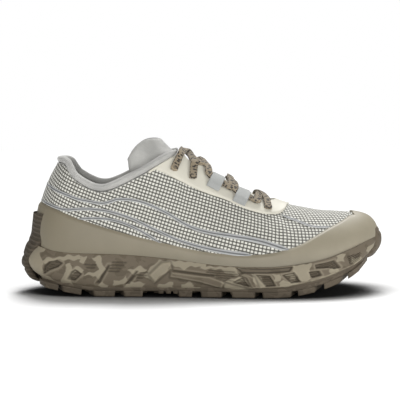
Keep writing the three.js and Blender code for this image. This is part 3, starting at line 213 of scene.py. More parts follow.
RAISED = (
    ((-0.142, 0.45), (-0.108, 0.87), (-0.087, 0.92), (-0.082, 0.71), (-0.127, 0.23)),
    ((-0.083, 0.6), (-0.028, 0.56), (0.021, 0.54), (0.058, 0.36), (0.051, 0.08), (-0.008, 0.3),
     (-0.086, 0.42)),
    ((0.06, 0.38), (0.13, 0.08), (0.148, 0.12), (0.137, 0.6), (0.112, 0.76), (0.1, 0.68), (0.118, 0.56),
     (0.132, 0.13),
     (0.066, 0.42)),
)
# Outlines of the patches of fine level ribs on the wall.
RIBBED = (
    ((-0.323, 0.75), (-0.279, 0.77), (-0.287, 0.57), (-0.309, 0.54)),
    ((-0.242, 0.83), (-0.198, 0.83), (-0.225, 0.45), (-0.256, 0.49)),
    ((-0.178, 0.5), (-0.141, 0.61), (-0.149, 0.36), (-0.178, 0.2)),
    ((0.02, 0.9), (0.082, 0.88), (0.097, 0.68), (0.064, 0.41), (0.005, 0.66)),
    ((0.386, 0.83), (0.43, 0.63), (0.428, 0.23), (0.396, 0.22)),
)
# Outlines of the light patches in the foam's camouflage, each as x and height shares.
LIGHT_PATCHES = (
    ((-0.5, 1.2), (-0.42, 1.06), (-0.44, 0.8), (-0.43, 0.57), (-0.432, 0.2), (-0.393, 0.05), (-0.41, -0.1),
     (-0.5, -0.1)),
    ((-0.435, 0.6), (-0.418, 0.76), (-0.4, 0.79), (-0.366, 0.94), (-0.33, 0.95), (-0.325, 0.82),
     (-0.36, 0.79),
     (-0.39, 0.76), (-0.424, 0.55)),
    ((-0.369, 0.65), (-0.353, 0.69), (-0.35, 0.5), (-0.359, 0.23), (-0.345, 0.05), (-0.38, 0.01),
     (-0.377, 0.26),
     (-0.365, 0.44)),
    ((-0.34, 0.64), (-0.318, 0.56), (-0.323, 0.43), (-0.337, 0.5), (-0.357, 0.27), (-0.36, 0.41)),
    ((-0.3, 0.91), (-0.274, 0.96), (-0.26, 0.6), (-0.278, 0.2), (-0.284, 0.39), (-0.319, 0.38),
     (-0.305, 0.46),
     (-0.278, 0.54), (-0.284, 0.8)),
    ((-0.328, 0.94), (-0.31, 0.94), (-0.315, 0.74), (-0.328, 0.73)),
    ((-0.24, 0.3), (-0.225, 0.22), (-0.203, 0.42), (-0.202, 0.24), (-0.222, 0.1), (-0.238, 0.13)),
    ((-0.193, 0.6), (-0.162, 0.72), (-0.149, 0.6), (-0.18, 0.43), (-0.204, 0.56)),
    ((-0.157, 0.45), (-0.118, 0.93), (-0.077, 0.97), (-0.09, 0.66), (-0.131, 0.22)),
    ((-0.12, 0.94), (0.01, 1.04), (0.006, 0.86), (-0.03, 0.86), (-0.048, 0.7), (-0.078, 0.82)),
    ((-0.194, 0.24), (-0.153, 0.2), (-0.162, 0.0), (-0.213, 0.02)),
    ((-0.119, 0.14), (-0.08, 0.27), (-0.077, 0.05), (-0.118, 0.03)),
    ((-0.27, 0.24), (-0.25, 0.08), (-0.256, -0.02), (-0.278, 0.07)),
    ((-0.058, 0.16), (-0.035, 0.3), (-0.02, 0.12), (0.0, 0.06), (-0.02, -0.02), (-0.052, 0.02)),
    ((-0.006, 0.92), (0.086, 1.0), (0.099, 0.66), (0.07, 0.68), (0.048, 0.86), (-0.007, 0.8)),
    ((0.05, 0.33), (0.095, 0.6), (0.122, 0.42), (0.086, 0.3), (0.125, 0.1), (0.147, -0.06), (0.095, -0.07),
     (0.06, 0.13)),
    ((0.131, 0.72), (0.148, 0.7), (0.168, 0.22), (0.153, 0.05), (0.133, 0.5)),
    ((0.187, 0.72), (0.205, 0.7), (0.208, 0.42), (0.192, 0.43)),
    ((0.202, 0.31), (0.216, 0.45), (0.238, 0.32), (0.257, 0.28), (0.228, 0.13), (0.204, 0.16)),
    ((0.239, 1.0), (0.291, 1.0), (0.284, 0.6), (0.288, 0.32), (0.263, 0.25), (0.247, 0.68), (0.238, 0.8)),
    ((0.213, 0.65), (0.247, 0.71), (0.25, 0.39), (0.235, 0.38), (0.232, 0.56)),
    ((0.285, 0.23), (0.332, 0.28), (0.362, 0.24), (0.326, 0.13), (0.288, 0.1)),
    ((0.338, 0.5), (0.364, 0.47), (0.364, 0.26), (0.341, 0.28)),
    ((0.358, 1.03), (0.383, 0.92), (0.378, 0.57), (0.36, 0.75)),
    ((0.398, 0.61), (0.428, 0.33), (0.432, 0.0), (0.409, 0.06)),
    ((0.446, 0.6), (0.475, 0.5), (0.468, 0.1), (0.449, 0.05)),
)
# How far the tread's rubber climbs the wall, as a share of its height.
TREAD_EDGE = (
    (-0.5, -0.2), (0.06, -0.1), (0.1, 0.0), (0.158, 0.08), (0.233, 0.14), (0.313, 0.2), (0.374, 0.18),
    (0.421, 0.12),
    (0.46, 0.08), (0.5, 0.08),
)

# The tread's lugs: from, to and the inner end's trail, in shares of the length.
EDGE_LUGS = (
    (-0.425, -0.388, 0.02), (-0.375, -0.325, 0.02), (-0.29, -0.235, 0.02), (-0.21, -0.16, 0.015),
    (-0.063, -0.028, 0.01), (-0.004, 0.05, -0.015), (0.078, 0.138, -0.02), (0.16, 0.235, -0.025),
    (0.254, 0.3, -0.025), (0.325, 0.37, -0.03), (0.392, 0.425, -0.03),
)
EDGE_REACH = (0.55, 0.93)
CENTRE_LUGS = (-0.4, -0.34, -0.27, -0.2, -0.11, -0.02, 0.045, 0.115, 0.19, 0.255, 0.32, 0.385)
CENTRE_REACH = 0.42
CHEVRON_TURN = -0.15
NUBS = (-0.118, -0.098, -0.078, 0.075)
NUB_REACH = (0.8, 0.92)
NUB_DEPTH = 0.45

# The rubber that climbs the heel and the toe, as pairs of z and x.
HEEL_WRAP = (
    (0.12, -0.43), (0.13, -0.452), (0.16, -0.474), (0.22, -0.486), (0.3, -0.495), (0.37, -0.5),
    (0.46, -0.496), (0.58, -0.488), (0.72, -0.474), (0.84, -0.47), (1, -0.466),
)
TOE_WRAP = (
    (0.47, 0.45), (0.5, 0.473), (0.58, 0.488), (0.68, 0.498), (0.77, 0.5), (0.86, 0.497),
    (0.95, 0.487), (1, 0.476),
)
# Half widths of those two by height, as shares of the wrap's own, and their level ridges as height and depth.
HEEL_HALF = ((0.12, 0.66), (0.24, 0.7), (0.33, 0.78), (0.45, 0.92), (0.56, 1.1), (0.66, 1.28), (1, 1.24))
TOE_HALF = ((0.45, 1.05), (0.7, 0.95), (0.9, 0.85), (1, 0.7))
HEEL_RIDGES = ((0.3, -0.0009), (0.46, -0.0008), (0.64, -0.0007))
TOE_RIDGES = ((0.88, -0.0006),)
RIDGE_SPREAD = 0.02
RIDGE_ENDS = (0.08, 0.3)
WRAP_THICKNESS = 0.004
WRAP_EDGE = 0.0012
WRAP_EDGE_SHARE = 0.07

# Creases set on the upper: x and height of the middle, its run and width in metres, the slope of its line and
# how deep it is.
CREASES = (
    (0.222, 0.52, 0.016, 0.0035, -1.4, 0.0006),
    (0.196, 0.42, 0.014, 0.003, -2.2, 0.0004),
    (0.262, 0.47, 0.012, 0.003, -1.2, 0.0004),
    (-0.215, 0.62, 0.015, 0.004, 0.5, 0.0005),
    (-0.33, 0.62, 0.012, 0.0035, 1.8, 0.0005),
    (-0.1, 0.72, 0.02, 0.005, -0.5, 0.0004),
    (0.03, 0.58, 0.02, 0.004, -0.45, 0.0004),
)

# The wall height that the relief's shares stand for, and how the wall draws in at its foot and its rim.
WALL_HEIGHT = 0.021
WALL_LOW = ((0, 1), (0.14, 0.35), (0.42, 0), (1, 0))
WALL_HIGH = ((0, 0), (0.42, 0), (0.78, 0.45), (1, 1))
# The tones painted on the wall, in order: painted shade in its hollows, painted highlights along its edges,
# the tread's rubber and the camouflage's pale patches.
WALL_TONES = ("painted_shade", "edge", "tread", "light")
WALL_LEVELS = 60
WALL_COUNT = 1100
WALL_FADE = 0.06
# The rim's last rings: share of the way in to the upper, and lift over the rim.
RIM_STEPS = ((0.12, 0.00025), (0.4, 0.0003), (0.8, 0.0001))
RIM_DIP = 0.0003
RIM_STAND = 0.3

# Where the edges of the wall's forms begin and end, measured inwards from their outlines.
RAISED_EDGE = (-0.0006, 0.0008)
RIBBED_EDGE = (0, 0.001)
GROOVE_EDGE = (-0.0003, 0.0006)
WINDOW_EDGE = (-0.0002, 0.0007)
WINDOW_FLOOR = (0.0007, 0.0015)
LIGHT_EDGE = (-0.0002, 0.0003)
TREAD_STEP = (-0.0003, 0.0003)
# Painted highlights and painted shade as soft lines beside those edges, as distance inwards, width and
# strength.
RAISED_HIGHLIGHT = (0.0007, 0.0007, 0.75)
RAISED_SHADE = (-0.0009, 0.0008, 0.45)
GROOVE_HIGHLIGHT = (-0.0011, 0.0006, 0.5)
WINDOW_HIGHLIGHT = (-0.0011, 0.0007, 0.6)
WINDOW_SHADE = (0.0005, 0.0005, 0.45)
TREAD_HIGHLIGHT = (0.0012, 0.0007, 0.7)
TREAD_HIGHLIGHT_FROM = (0.06, 0.1)
TREAD_LIP = (0.0012, 0.0009, 0.0006)
TREAD_SUNK = 0.0004
# Fine ribs, as pitch, height, mean painted shade and how far that painted shade swings.
WALL_RIBS = (0.0019, 0.0005, 0.28, 0.34)
WINDOW_RIBS = (0.0018, 0.0005, 0.26, 0.3)
RIBBED_SUNK = 0.0004
# Where a groove's floor begins inside its outline, and the painted shade on its floor and on its sides.
GROOVE_FLOOR = 0.0011
GROOVE_SHADES = (0.12, 0.7)
# The waves that soften the outlines of the light patches, as height and length.
PATCH_WAVES = ((0.0006, 0.0011), (0.0005, 0.0013))

# The tread's sheet as rings: outward, or None for the fit gap, whether on the foam's foot, and lift.
SHEET_RINGS = (
    (-0.0022, False, 0.0), (-0.0008, False, 0.0), (-0.0001, False, 0.0006), (None, False, 0.0012),
    (None, True, 0.0001), (0.0009, True, 0.0011), (0.0005, True, 0.0014), (-0.001, True, 0.0002),
)
# A lug's rings from the ground up, as inset and share of its depth, and the spacing of its outline's points.
LUG_RINGS = ((-0.0007, 1.08), (-0.0002, 0.85), (0.0001, 0.3), (0.0003, 0.1), (0.0009, 0.0))
LUG_SPACING = 0.0016
# The insole's rings, as inset from the upper and height in shares of its thickness.
INSOLE_RINGS = ((0, 0.0), (0, 0.55), (0.0004, 0.8), (0.0012, 1.0), (0.003, 1.02), (0.008, 0.94), (0.014, 0.9))

# Numbers of rows and columns, and of steps in the searches.
HALVINGS = 24
PLACE_ROUNDS = 5
RIDGE_STEPS = 121
UPPER_GRID = (190, 60)
LINING_GRID = (120, 44)
THROAT_FRONT_ROWS = (7.3, THROAT_ROW, 24)
WEAVE_GRID = (460, 90)
RAND_GRID = (170, 34)
EYESTAY_GRID = (130, 30)
RING_COUNT = 600
SKIN_COUNT = 500
INSOLE_COUNT = 240
WRAP_GRID = (70, 41)
TONGUE_GRID = (90, 49)
COLLAR_GRID = (150, 28)
STRIP_COUNT = 120
LACE_RING = 20
LACE_STEPS = 12
LOOP_GRID = (90, 17)

# Steps in rows, heights and lengths at which the form is sampled or closed.
RING_STEP = 0.02
NORMAL_STEP = 0.01
EDGE_SAMPLE = 0.1
MERGE = 2e-6
COLLAPSE = 1e-7
TINY = 1e-12
# Where a search for an edge of the upper starts, and its rounds.
RIM_SEARCH = (0.1, 4)
RAND_SEARCH = (0.3, 6)
EYESTAY_SEARCH = (0.85, 6)
PLACE_START = 0.9
EYESTAY_FROM_V = 0.95

# Shares of the wall at which the cloth's and the lining's hidden sides lie, and where the creases fade.
CLOTH_DEPTH = 0.5
LINING_DEPTH = 0.55
LINING_FOOT = 0.02
CREASE_TOP = 0.05
CREASE_FOOT = 0.1
# The lining's padding: its thickness and where it swells, by height from the top edge and by station.
LINING_PAD = 0.0035
PAD_TOP = (0.0, 0.12)
PAD_LOW = (-0.5, -0.2)
PAD_THROAT = (-5.6, -4.6)
PAD_HEEL = (-0.5, 1.2)
# Up to this row the lining closes on its heel seam without a fold, and it is this much thicker there.
HEEL_SEAM_ROW = 2.0
HEEL_SEAM_PAD = 0.0022

# A flow line's profile across its width: places and heights. Its width, and how much wider it gets forward.
STRIP_PLACES = (-1, -0.82, -0.3, -0.12, 0, 0.12, 0.3, 0.82, 1)
STRIP_PROUD = (0.1, 0.9, 1, 0.75, 0.55, 0.75, 1, 0.9, 0.1)
STRIP_LIFT = 0.0001
STRIP_ENDS = (0.02, 0.25)
WIDE_FLOW = (0.0027, 0.0016)
FLOW_GROWTH = (-0.1, 0.15)
THIN_FLOW = (0.0024, 0.0)
FLOW_LINES = ((FLOW_HIGH, WIDE_FLOW), (FLOW_MIDDLE, WIDE_FLOW), (FLOW_LOW, THIN_FLOW), (FLOW_VAMP, THIN_FLOW))

# From this row on the rand's top edge only climbs, and how far it tucks in behind the midsole's rim.
FOREFOOT_ROW = 8
RAND_TUCK = 0.0016
RAND_BEND = 0.3
RAND_FADE = 0.5
CLOSING_ROWS = (0.3, 50)
RAND_THIN = (-0.0004, 0.0028)
EYESTAY_THIN = (-0.0004, 0.0016)
EYESTAY_OPEN = (-0.0006, 0.001)
# Shares of the fit gap at which a film's inner side and its thinned edge lie.
FILM_UNDER = 0.05
FILM_EDGE = 0.4

# The collar's roll: where it stops, the height share of its normals, its form, its unevenness and its ends.
COLLAR_STOP = 5.12
COLLAR_NORMAL = 0.97
ROLL_FORM = (1.02, 0.1)
ROLL_WAVES = ((0.02, 9, 0.0), (0.015, 23, 1.3))
ROLL_ENDS = (0.55, 0.025)

# The tongue's form: fall towards its sides, rounding of its sides and tip, and its quilting.
TONGUE_FALL = 5
TONGUE_SIDE = 0.12
TONGUE_TIP = 0.04
TONGUE_THIN = 0.12
QUILT_DEPTH = 0.000105
QUILT_COUNT = 9
QUILT_SIDE = (0.1, 0.4)
ARCH_LEAST = 0.001

# How the lace turns down into an eyelet: height shares down, lift and width.
EYELET_DIVE = ((0.006, -0.0001, 1.0), (0.015, -0.0014, 1.0), (0.014, -0.0040, 0.96))
# Where the upper crossing slips under the throat's far edge, as a share of the length, and how.
UNDER_EDGE = -0.004
UNDER_DEPTH = 0.0012
UNDER_STOPS = ((0.01, 0.7), (0.05, 1.0))
LACE_FLAT = (0.75, 0.6)
# A webbing loop's path from its sewn end over the lace and back under it: down from the ridge, and lift.
LOOP_PATH = (
    (0.338, 0.0016), (0.316, 0.0026), (0.3, 0.0036), (0.28, 0.0042), (0.25, 0.0044), (0.22, 0.0043),
    (0.193, 0.0038), (0.179, 0.0029), (0.187, 0.0020), (0.21, 0.0016), (0.25, 0.0015), (0.3, 0.0013),
)
LOOP_LEAN = -0.019 / 0.18
LOOP_MIDDLE = 0.155
TAPE_EDGE = (0.86, 0.3)

# Stitches: spacing, length and radius, the seam's place, and the tacks' rows as down and lift.
SEAM_STITCH = (0.0021, 0.0016, 0.00032)
SEAM_DOWN = 0.0006
SEAM_LIFT = 0.00025
SEAM_ROWS = (0.05, COLLAR_STOP, 260)
TACK_STITCH = (0.0012, 0.001, 0.0002)
TACK_ROWS = ((0.302, 0.0025), (0.317, 0.0023))
TACK_SPAN = (-0.42, 0.42, 12)
TACK_SHIFT = 0.017
STITCH_GRID = (7, 6)
STITCH_LEAST = 0.05

# Each material's name and the plain values on its shader.
SURFACES = {
    "cloth": ("ripstop_cloth", {"Roughness": 0.72, "Sheen Weight": 0.12}),
    "film": ("flow_film", {"Roughness": 0.42}),
    "rand": ("rand_film", {"Roughness": 0.55}),
    "eyestay": ("eyestay_film", {"Roughness": 0.5}),
    "knit": ("brushed_knit", {"Roughness": 0.9, "Sheen Weight": 0.25, "Sheen Roughness": 0.5}),
    "foam": ("mottled_foam", {"Roughness": 0.68, "Specular IOR Level": 0.25}),
    "tread": ("tread_rubber", {"Roughness": 0.7, "Specular IOR Level": 0.2}),
    "wrap_rubber": ("wrap_rubber", {"Roughness": 0.7, "Specular IOR Level": 0.2}),
    "woven": ("woven_lace", {"Roughness": 0.85, "Sheen Weight": 0.2}),
    "webbing": ("loop_webbing", {"Roughness": 0.55}),
    "thread": ("sewing_thread", {"Roughness": 0.6}),
    "floor": ("pale_floor", {"Roughness": 0.9, "Specular IOR Level": 0.1}),
}
# Noise patterns, as scale, detail and roughness.
NOISES = {
    "weave_wobble": (90.0, 1.0, 0.5), "knit_fuzz": (2.3, 3.0, 0.65), "knit_tone": (60.0, 2.0, 0.5),
    "mottle_bend": (120.0, 2.0, 0.5), "mottle_broad": (118.0, 2.0, 0.42), "mottle_other": (150.0, 2.0, 0.42),
    "mottle_grain": (1400.0, 2.0, 0.5), "cloth_tone": (260.0, 2.0, 0.5), "film_tone": (45.0, 2.0, 0.5),
    "rand_cloud": (22.0, 4.0, 0.6), "rand_lower_dark": (60.0, 3.0, 0.5), "rand_grain": (1500.0, 3.0, 0.6),
    "rand_soft": (120.0, 3.0, 0.5), "eyestay_cloud": (30.0, 4.0, 0.6), "eyestay_grain": (1700.0, 3.0, 0.6),
    "eyestay_soft": (140.0, 3.0, 0.5), "foam_cloud": (40.0, 3.0, 0.6), "rubber_grain": (1100.0, 3.0, 0.6),
    "wrap_cloud": (55.0, 4.0, 0.6), "thread_twist": (2500.0, 2.0, 0.5),
}
# Smooth rises, as where they begin and end, and their values there where these aren't 0 and 1.
RAMPS = {
    "thread_beside": (0.2, 0.46), "thread_under": (0.2, 0.44), "cloth_tone": (0.3, 0.7),
    "film_line": (0.1, 0.2, 1.0, 0.0), "rand_ahead": (-0.14, 0.07), "rand_cloud": (0.35, 0.75, 0.0, 0.22),
    "rand_lower_dark": (0.024, 0.036, 0.3, 0.0), "eyestay_cloud": (0.4, 0.75, 0.0, 0.5), "knit_tone": (0.35, 0.65),
    "knit_painted_shade": (-0.1, 0.5, 0.25, 0.0), "mottle_ahead": (0.02, 0.09, 0.0, 0.035),
    "mottle_behind": (-0.135, -0.11, 0.05, 0.0), "mottle_middle": (0.49, 0.5), "mottle_dark": (0.54, 0.55),
    "lace_fleck": (0.27, 0.35, 1.0, 0.0), "foam_cloud": (0.45, 0.8, 0.0, 0.15), "wrap_tooth": (0.12, 0.3),
    "wrap_cloud": (0.3, 0.7), "lace_height": (-1.0, 0.6), "webbing": (-1.5, 0.8), "floor_open": (0.42, 0.92),
    "sky": (0.0, 1.0, 0.26, 1.0),
}
# Bumps, as distance and strength.
BUMPS = {
    "cloth": (0.0004, 0.8), "film": (0.0003, 0.8), "rand_soft": (0.0003, 0.25), "rand_grain": (0.00008, 0.5),
    "eyestay_soft": (0.0003, 0.3), "eyestay_grain": (0.0001, 0.6), "knit": (0.0004, 0.55),
    "foam": (0.00015, 0.5),
    "tread": (0.00015, 0.6), "wrap": (0.0003, 0.6), "lace": (0.00025, 0.7), "webbing": (0.00015, 0.6),
    "thread": (0.0001, 0.6),
}
# How bright each second tone is, as a share of the colour that it varies. Some are painted shade, painted
# highlights or the floor's painted shadow.
DIMMED = {
    "cloth_tone": 0.86, "cloth_knot": 0.4, "film_tone": 0.88, "rand_cloud": 0.72, "rand_lower_dark": 0.55,
    "eyestay_cloud": 0.8, "knit_tone": 0.8, "knit_painted_shade": 0.5, "foam_cloud": 0.7, "foam_painted_highlight": 1.25,
    "foam_painted_shade": 0.3, "tread_patch": 0.78, "wrap_plain": 0.82, "wrap_cloud": 0.615, "wrap_tooth": 0.5,
    "lace_painted_shade": 0.6, "webbing_painted_shade": 0.72, "thread_painted_shade": 0.6, "floor_shadow": 0.02,
}
# The patterns' own sizes, in metres, counts or shares.
CLOTH_WOBBLE = 0.0007
CLOTH_STRANDS = 5
CLOTH_WARP = 0.9
CLOTH_KNOT = 0.6
CLOTH_FINE = 0.06
KNIT_SCALE = 1500.0
KNIT_RANDOM = 0.55
KNIT_LOOP = -0.7
MOTTLE_BEND = (0.012, -0.008)
MOTTLE_TURN = {"Rotation": (0, 0.6, 0), "Scale": (0.8, 0.6, 1.2)}
MOTTLE_SHIFT = {"Location": (0.31, 0.17, 0.05)}
RAND_LOWER_WAVE = 0.006
FOAM_HIGHLIGHT = 0.6
WRAP_PITCH = 0.0034
WRAP_TOOTH = -4.0
LACE_PITCH = 0.0011
LACE_PLIES = 4.0
LACE_LEAN = 1.6
FLECK_STRETCH = {"Scale": (1.0, 0.012, 1.0)}
FLECK_CELLS = {"Scale": 420.0, "Randomness": 0.8}
WEBBING_PITCH = 0.0009
WEBBING_STRANDS = 9
WEBBING_STRAND = 0.7
FLOOR_REACH = 0.1
FLOOR_SAMPLES = 12

# The camera looks along +Y from the shoe's lateral side, a little down.
CAMERA_PLACE = (-0.002, -1.15, 0.16)
CAMERA_DOWN = math.radians(4.2)
CAMERA_LENS = 124.3
SENSOR = 36.0
FLOOR_SIZE = 6.0
FLOOR_COUNT = 13
WHITE = (1.0, 1.0, 1.0, 1.0)
LAMP_ASPECT = 0.6
# Name, kind, place, target, width or angle, and power. The sun stands behind the shoe.
LAMPS = (
    ("sun", "SUN", (0.12, 0.62, 0.95), (0.0, 0.0, 0.0), math.radians(24), 3.3),
    ("front", "AREA", (-0.1, -2.2, 0.5), (0.0, 0.0, 0.05), 1.5, 22.0),
    ("toe", "AREA", (1.5, -1.1, 0.55), (0.0, 0.0, 0.05), 1.0, 9.0),
)
SIDES = ((-1, "lateral"), (1, "medial"))


def length_property(name, default, description):
    """A length in metres for the sizes group."""
    return bpy.props.FloatProperty(
        name=name, description=description, default=default, min=0.0, unit="LENGTH", precision=5
    )


def colour_property(name, default, description):
    """A colour for the colours group, in linear light."""
    return bpy.props.FloatVectorProperty(
        name=name, description=description, default=(*default, 1.0), size=4, min=0.0, max=1.0,
        subtype="COLOR",
    )


class ShoeSizes(bpy.types.PropertyGroup):
    """The sizes that the visual pieces share with the frame."""

    length: length_property("Length", 0.302, "Heel to toe over the rubber")
    width: length_property("Width", 0.108, "Widest part of the sole")
    heel_stack: length_property("Heel stack", 0.029, "Footbed height at the heel")
    fore_stack: length_property("Forefoot stack", 0.0195, "Footbed height at the forefoot")
    toe_spring: length_property("Toe spring", 0.021, "How far the footbed climbs at the toe")
    lug_depth: length_property("Lug depth", 0.0045, "Depth of the tread")
    rubber_sheet: length_property("Rubber sheet", 0.002, "Thickness between lugs and foam")
    rim_height: length_property("Rim height", 0.0055, "How far the foam climbs past the footbed")
    rocker_rise: length_property("Rocker rise", 0.036, "How far the tread lifts at the toe")
    heel_wrap: length_property("Heel wrap height", 0.066, "Top of the rubber at the heel")
    toe_wrap: length_property("Toe wrap height", 0.056, "Top of the rubber at the toe")
    wrap_width: length_property("Wrap width", 0.034, "Width of the heel and toe rubber")
    wrap_rounding: length_property("Wrap rounding", 0.0068, "How far the wrap's edges fall back")
    window_depth: length_property("Window depth", 0.0026, "Depth of the midsole's windows")
    groove_depth: length_property("Groove depth", 0.0014, "Depth of the midsole's grooves")
    rib_height: length_property("Rib height", 0.0013, "How far the raised forms stand proud")
    rise: length_property("Upper rise", 0.081, "Height of the upper above the footbed at the heel")
    wall: length_property("Upper wall", 0.0022, "Thickness of the upper with its lining")
    throat_half: length_property("Throat half width", 0.015, "Half the opening under the lacing")
    throat_round: length_property("Throat rounding", 0.013, "Length of the throat's rounded front")
    rand: length_property("Rand thickness", 0.001, "Thickness of the rand film")
    eyestay: length_property("Eyestay thickness", 0.0009, "Thickness of the eyestay film")
    binding: length_property("Binding radius", 0.0026, "Half the collar roll's thickness")
    binding_gap: length_property("Binding gap", 0.0012, "Clearance from the upper's edge to the roll")
    gap: length_property("Fit gap", 0.00035, "Clearance between touching pieces")
    insole: length_property("Insole thickness", 0.004, "Thickness of the insole")
    tongue: length_property("Tongue thickness", 0.0034, "Thickness of the tongue's padding")
    tongue_gap: length_property("Tongue clearance", 0.0017, "Gap from the upper to the tongue")
    lace_width: length_property("Lace width", 0.0064, "Width of the flat lace")
    lace: length_property("Lace thickness", 0.0016, "Thickness of the flat lace")
    lace_lift: length_property("Lace lift", 0.0021, "Height of the lace over the upper")
    throat_drop: bpy.props.FloatProperty(
        name="Throat drop", default=0.8,
        description="How far tongue and lace flatten between the throat's edges",
        min=0.0, max=1.0,
    )
    edge_rise: length_property("Edge rise", 0.0012, "Extra lift where the lace leaves the throat")
    loop_width: length_property("Loop width", 0.011, "Width of a webbing loop")
    tape: length_property("Loop tape", 0.0008, "Thickness of the webbing")
    lug_length: length_property("Lug length", 0.008, "Length of a centre lug")
    sweep: length_property("Chevron sweep", 0.007, "How far a centre lug's wings sweep")
    warp_pitch: length_property("Warp pitch", 0.0029, "Distance between the cloth's upright threads")
    weft_pitch: length_property("Weft pitch", 0.0029, "Distance between the cloth's level threads")
    film: length_property("Film thickness", 0.0004, "Thickness of the flow lines")


class ShoeColours(bpy.types.PropertyGroup):
    """The colours of the shoe's materials, in linear light."""

    cloth: colour_property("Cloth", (0.78, 0.77, 0.70), "The ripstop's raised cells")
    thread: colour_property("Thread", (0.075, 0.073, 0.058), "The ripstop's sunken threads")
    film: colour_property("Film", (0.44, 0.445, 0.44), "The flow lines")
    film_dark: colour_property("Film line", (0.135, 0.14, 0.142), "The line along each flow line")
    rand: colour_property("Rand", (0.203, 0.176, 0.12), "The rand film")
    rand_toe: colour_property("Rand toe", (0.298, 0.265, 0.192), "The rand film towards the toe")
    eyestay: colour_property("Eyestay", (0.63, 0.605, 0.515), "The eyestay film")
    lining: colour_property("Lining", (0.49, 0.485, 0.46), "Collar, tongue and lining")
    foam_light: colour_property("Foam light", (0.285, 0.25, 0.182), "Palest tone of the mottled foam")
    foam_mid: colour_property("Foam middle", (0.143, 0.117, 0.083), "Middle tone of the foam")
    foam_dark: colour_property("Foam dark", (0.118, 0.096, 0.066), "Darkest tone of the foam")
    rubber: colour_property("Rubber", (0.128, 0.104, 0.075), "The tread")
    lace: colour_property("Lace", (0.325, 0.265, 0.18), "The lace")
    lace_fleck: colour_property("Lace fleck", (0.03, 0.024, 0.018), "Flecks in the lace")
    webbing: colour_property("Webbing", (0.43, 0.44, 0.425), "The lace loops")
    floor: colour_property("Floor", (0.95, 0.95, 0.95), "The floor")


def ring_of(rows, columns, lat, med=None):
    """One column of a table of half sections as a ring: up the lateral side, back down the medial one."""
    a = [row[columns.index(lat)] for row in rows]
    b = [row[columns.index(med or lat)] for row in rows]
    return np.array(a + b[-2:0:-1], dtype=float)


def along(pairs, share):
    """A smooth curve through pairs of x and value, read at an array of x."""
    xs, ys = np.array(pairs, dtype=float).T
    end = len(xs) - 1
    k = np.arange(end + 1)
    low, high = np.maximum(k - 1, 0), np.minimum(k + 1, end)
    slope = (ys[high] - ys[low]) / (xs[high] - xs[low])
    at = np.clip(np.asarray(share, dtype=float), xs[0], xs[end])
    i = np.clip(np.searchsorted(xs, at, side="right") - 1, 0, end - 1)
    span = xs[i + 1] - xs[i]
    u = (at - xs[i]) / span
    bend = u * u * (3 - 2 * u)
    return ys[i] + (ys[i + 1] - ys[i]) * bend + span * u * (1 - u) * (slope[i] * (1 - u) - slope[i + 1] * u)


def round_ring(values, at):
    """A smooth curve through values that run round a closed ring, read at fractional row numbers."""
    n = len(values)
    i = np.floor(at).astype(int)
    u = at - i
    a, b, c, d = (values[(i + k) % n] for k in (-1, 0, 1, 2))
    return b + 0.5 * u * (c - a + u * (2 * a - 5 * b + 4 * c - d + u * (3 * (b - c) + d - a)))


def smooth_path(points, u):
    """A smooth open curve through points, read at shares of its number of spans."""
    points = np.asarray(points, dtype=float)
    end = len(points) - 1
    at = np.clip(np.asarray(u, dtype=float), 0, 1) * end
    i = np.clip(np.floor(at).astype(int), 0, end - 1)
    w = (at - i).reshape((-1,) + (1,) * (points.ndim - 1))
    padded = np.concatenate([[2 * points[0] - points[1]], points, [2 * points[end] - points[end - 1]]])
    a, b, c, d = (padded[i + k] for k in range(4))
    return b + 0.5 * w * (c - a + w * (2 * a - 5 * b + 4 * c - d + w * (3 * (b - c) + d - a)))


def unit(vectors):
    """Vectors scaled to length 1."""
    return vectors / np.maximum(np.linalg.norm(vectors, axis=-1, keepdims=True), TINY)


def step_up(value, low, high):
    """0 below low, 1 above high and smooth between."""
    u = np.clip((value - low) / (high - low), 0, 1)
    return u * u * (3 - 2 * u)


def halve(low, high, is_below):
    """Where a measure that rises from low to high reaches its value, by halving."""
    for _ in range(HALVINGS):
        middle = (low + high) / 2
        below = is_below(middle)
        low, high = np.where(below, middle, low), np.where(below, high, middle)
    return (low + high) / 2


def run_along(line):
    """The length from a line's first point to each of its points."""
    return np.concatenate([[0], np.cumsum(np.linalg.norm(np.diff(line, axis=0), axis=-1))])


def pair_grid(down, across):
    """A grid of pairs: one value for its row and one for its column."""
    return np.stack(np.broadcast_arrays(down[:, None], across[None, :]), axis=-1)


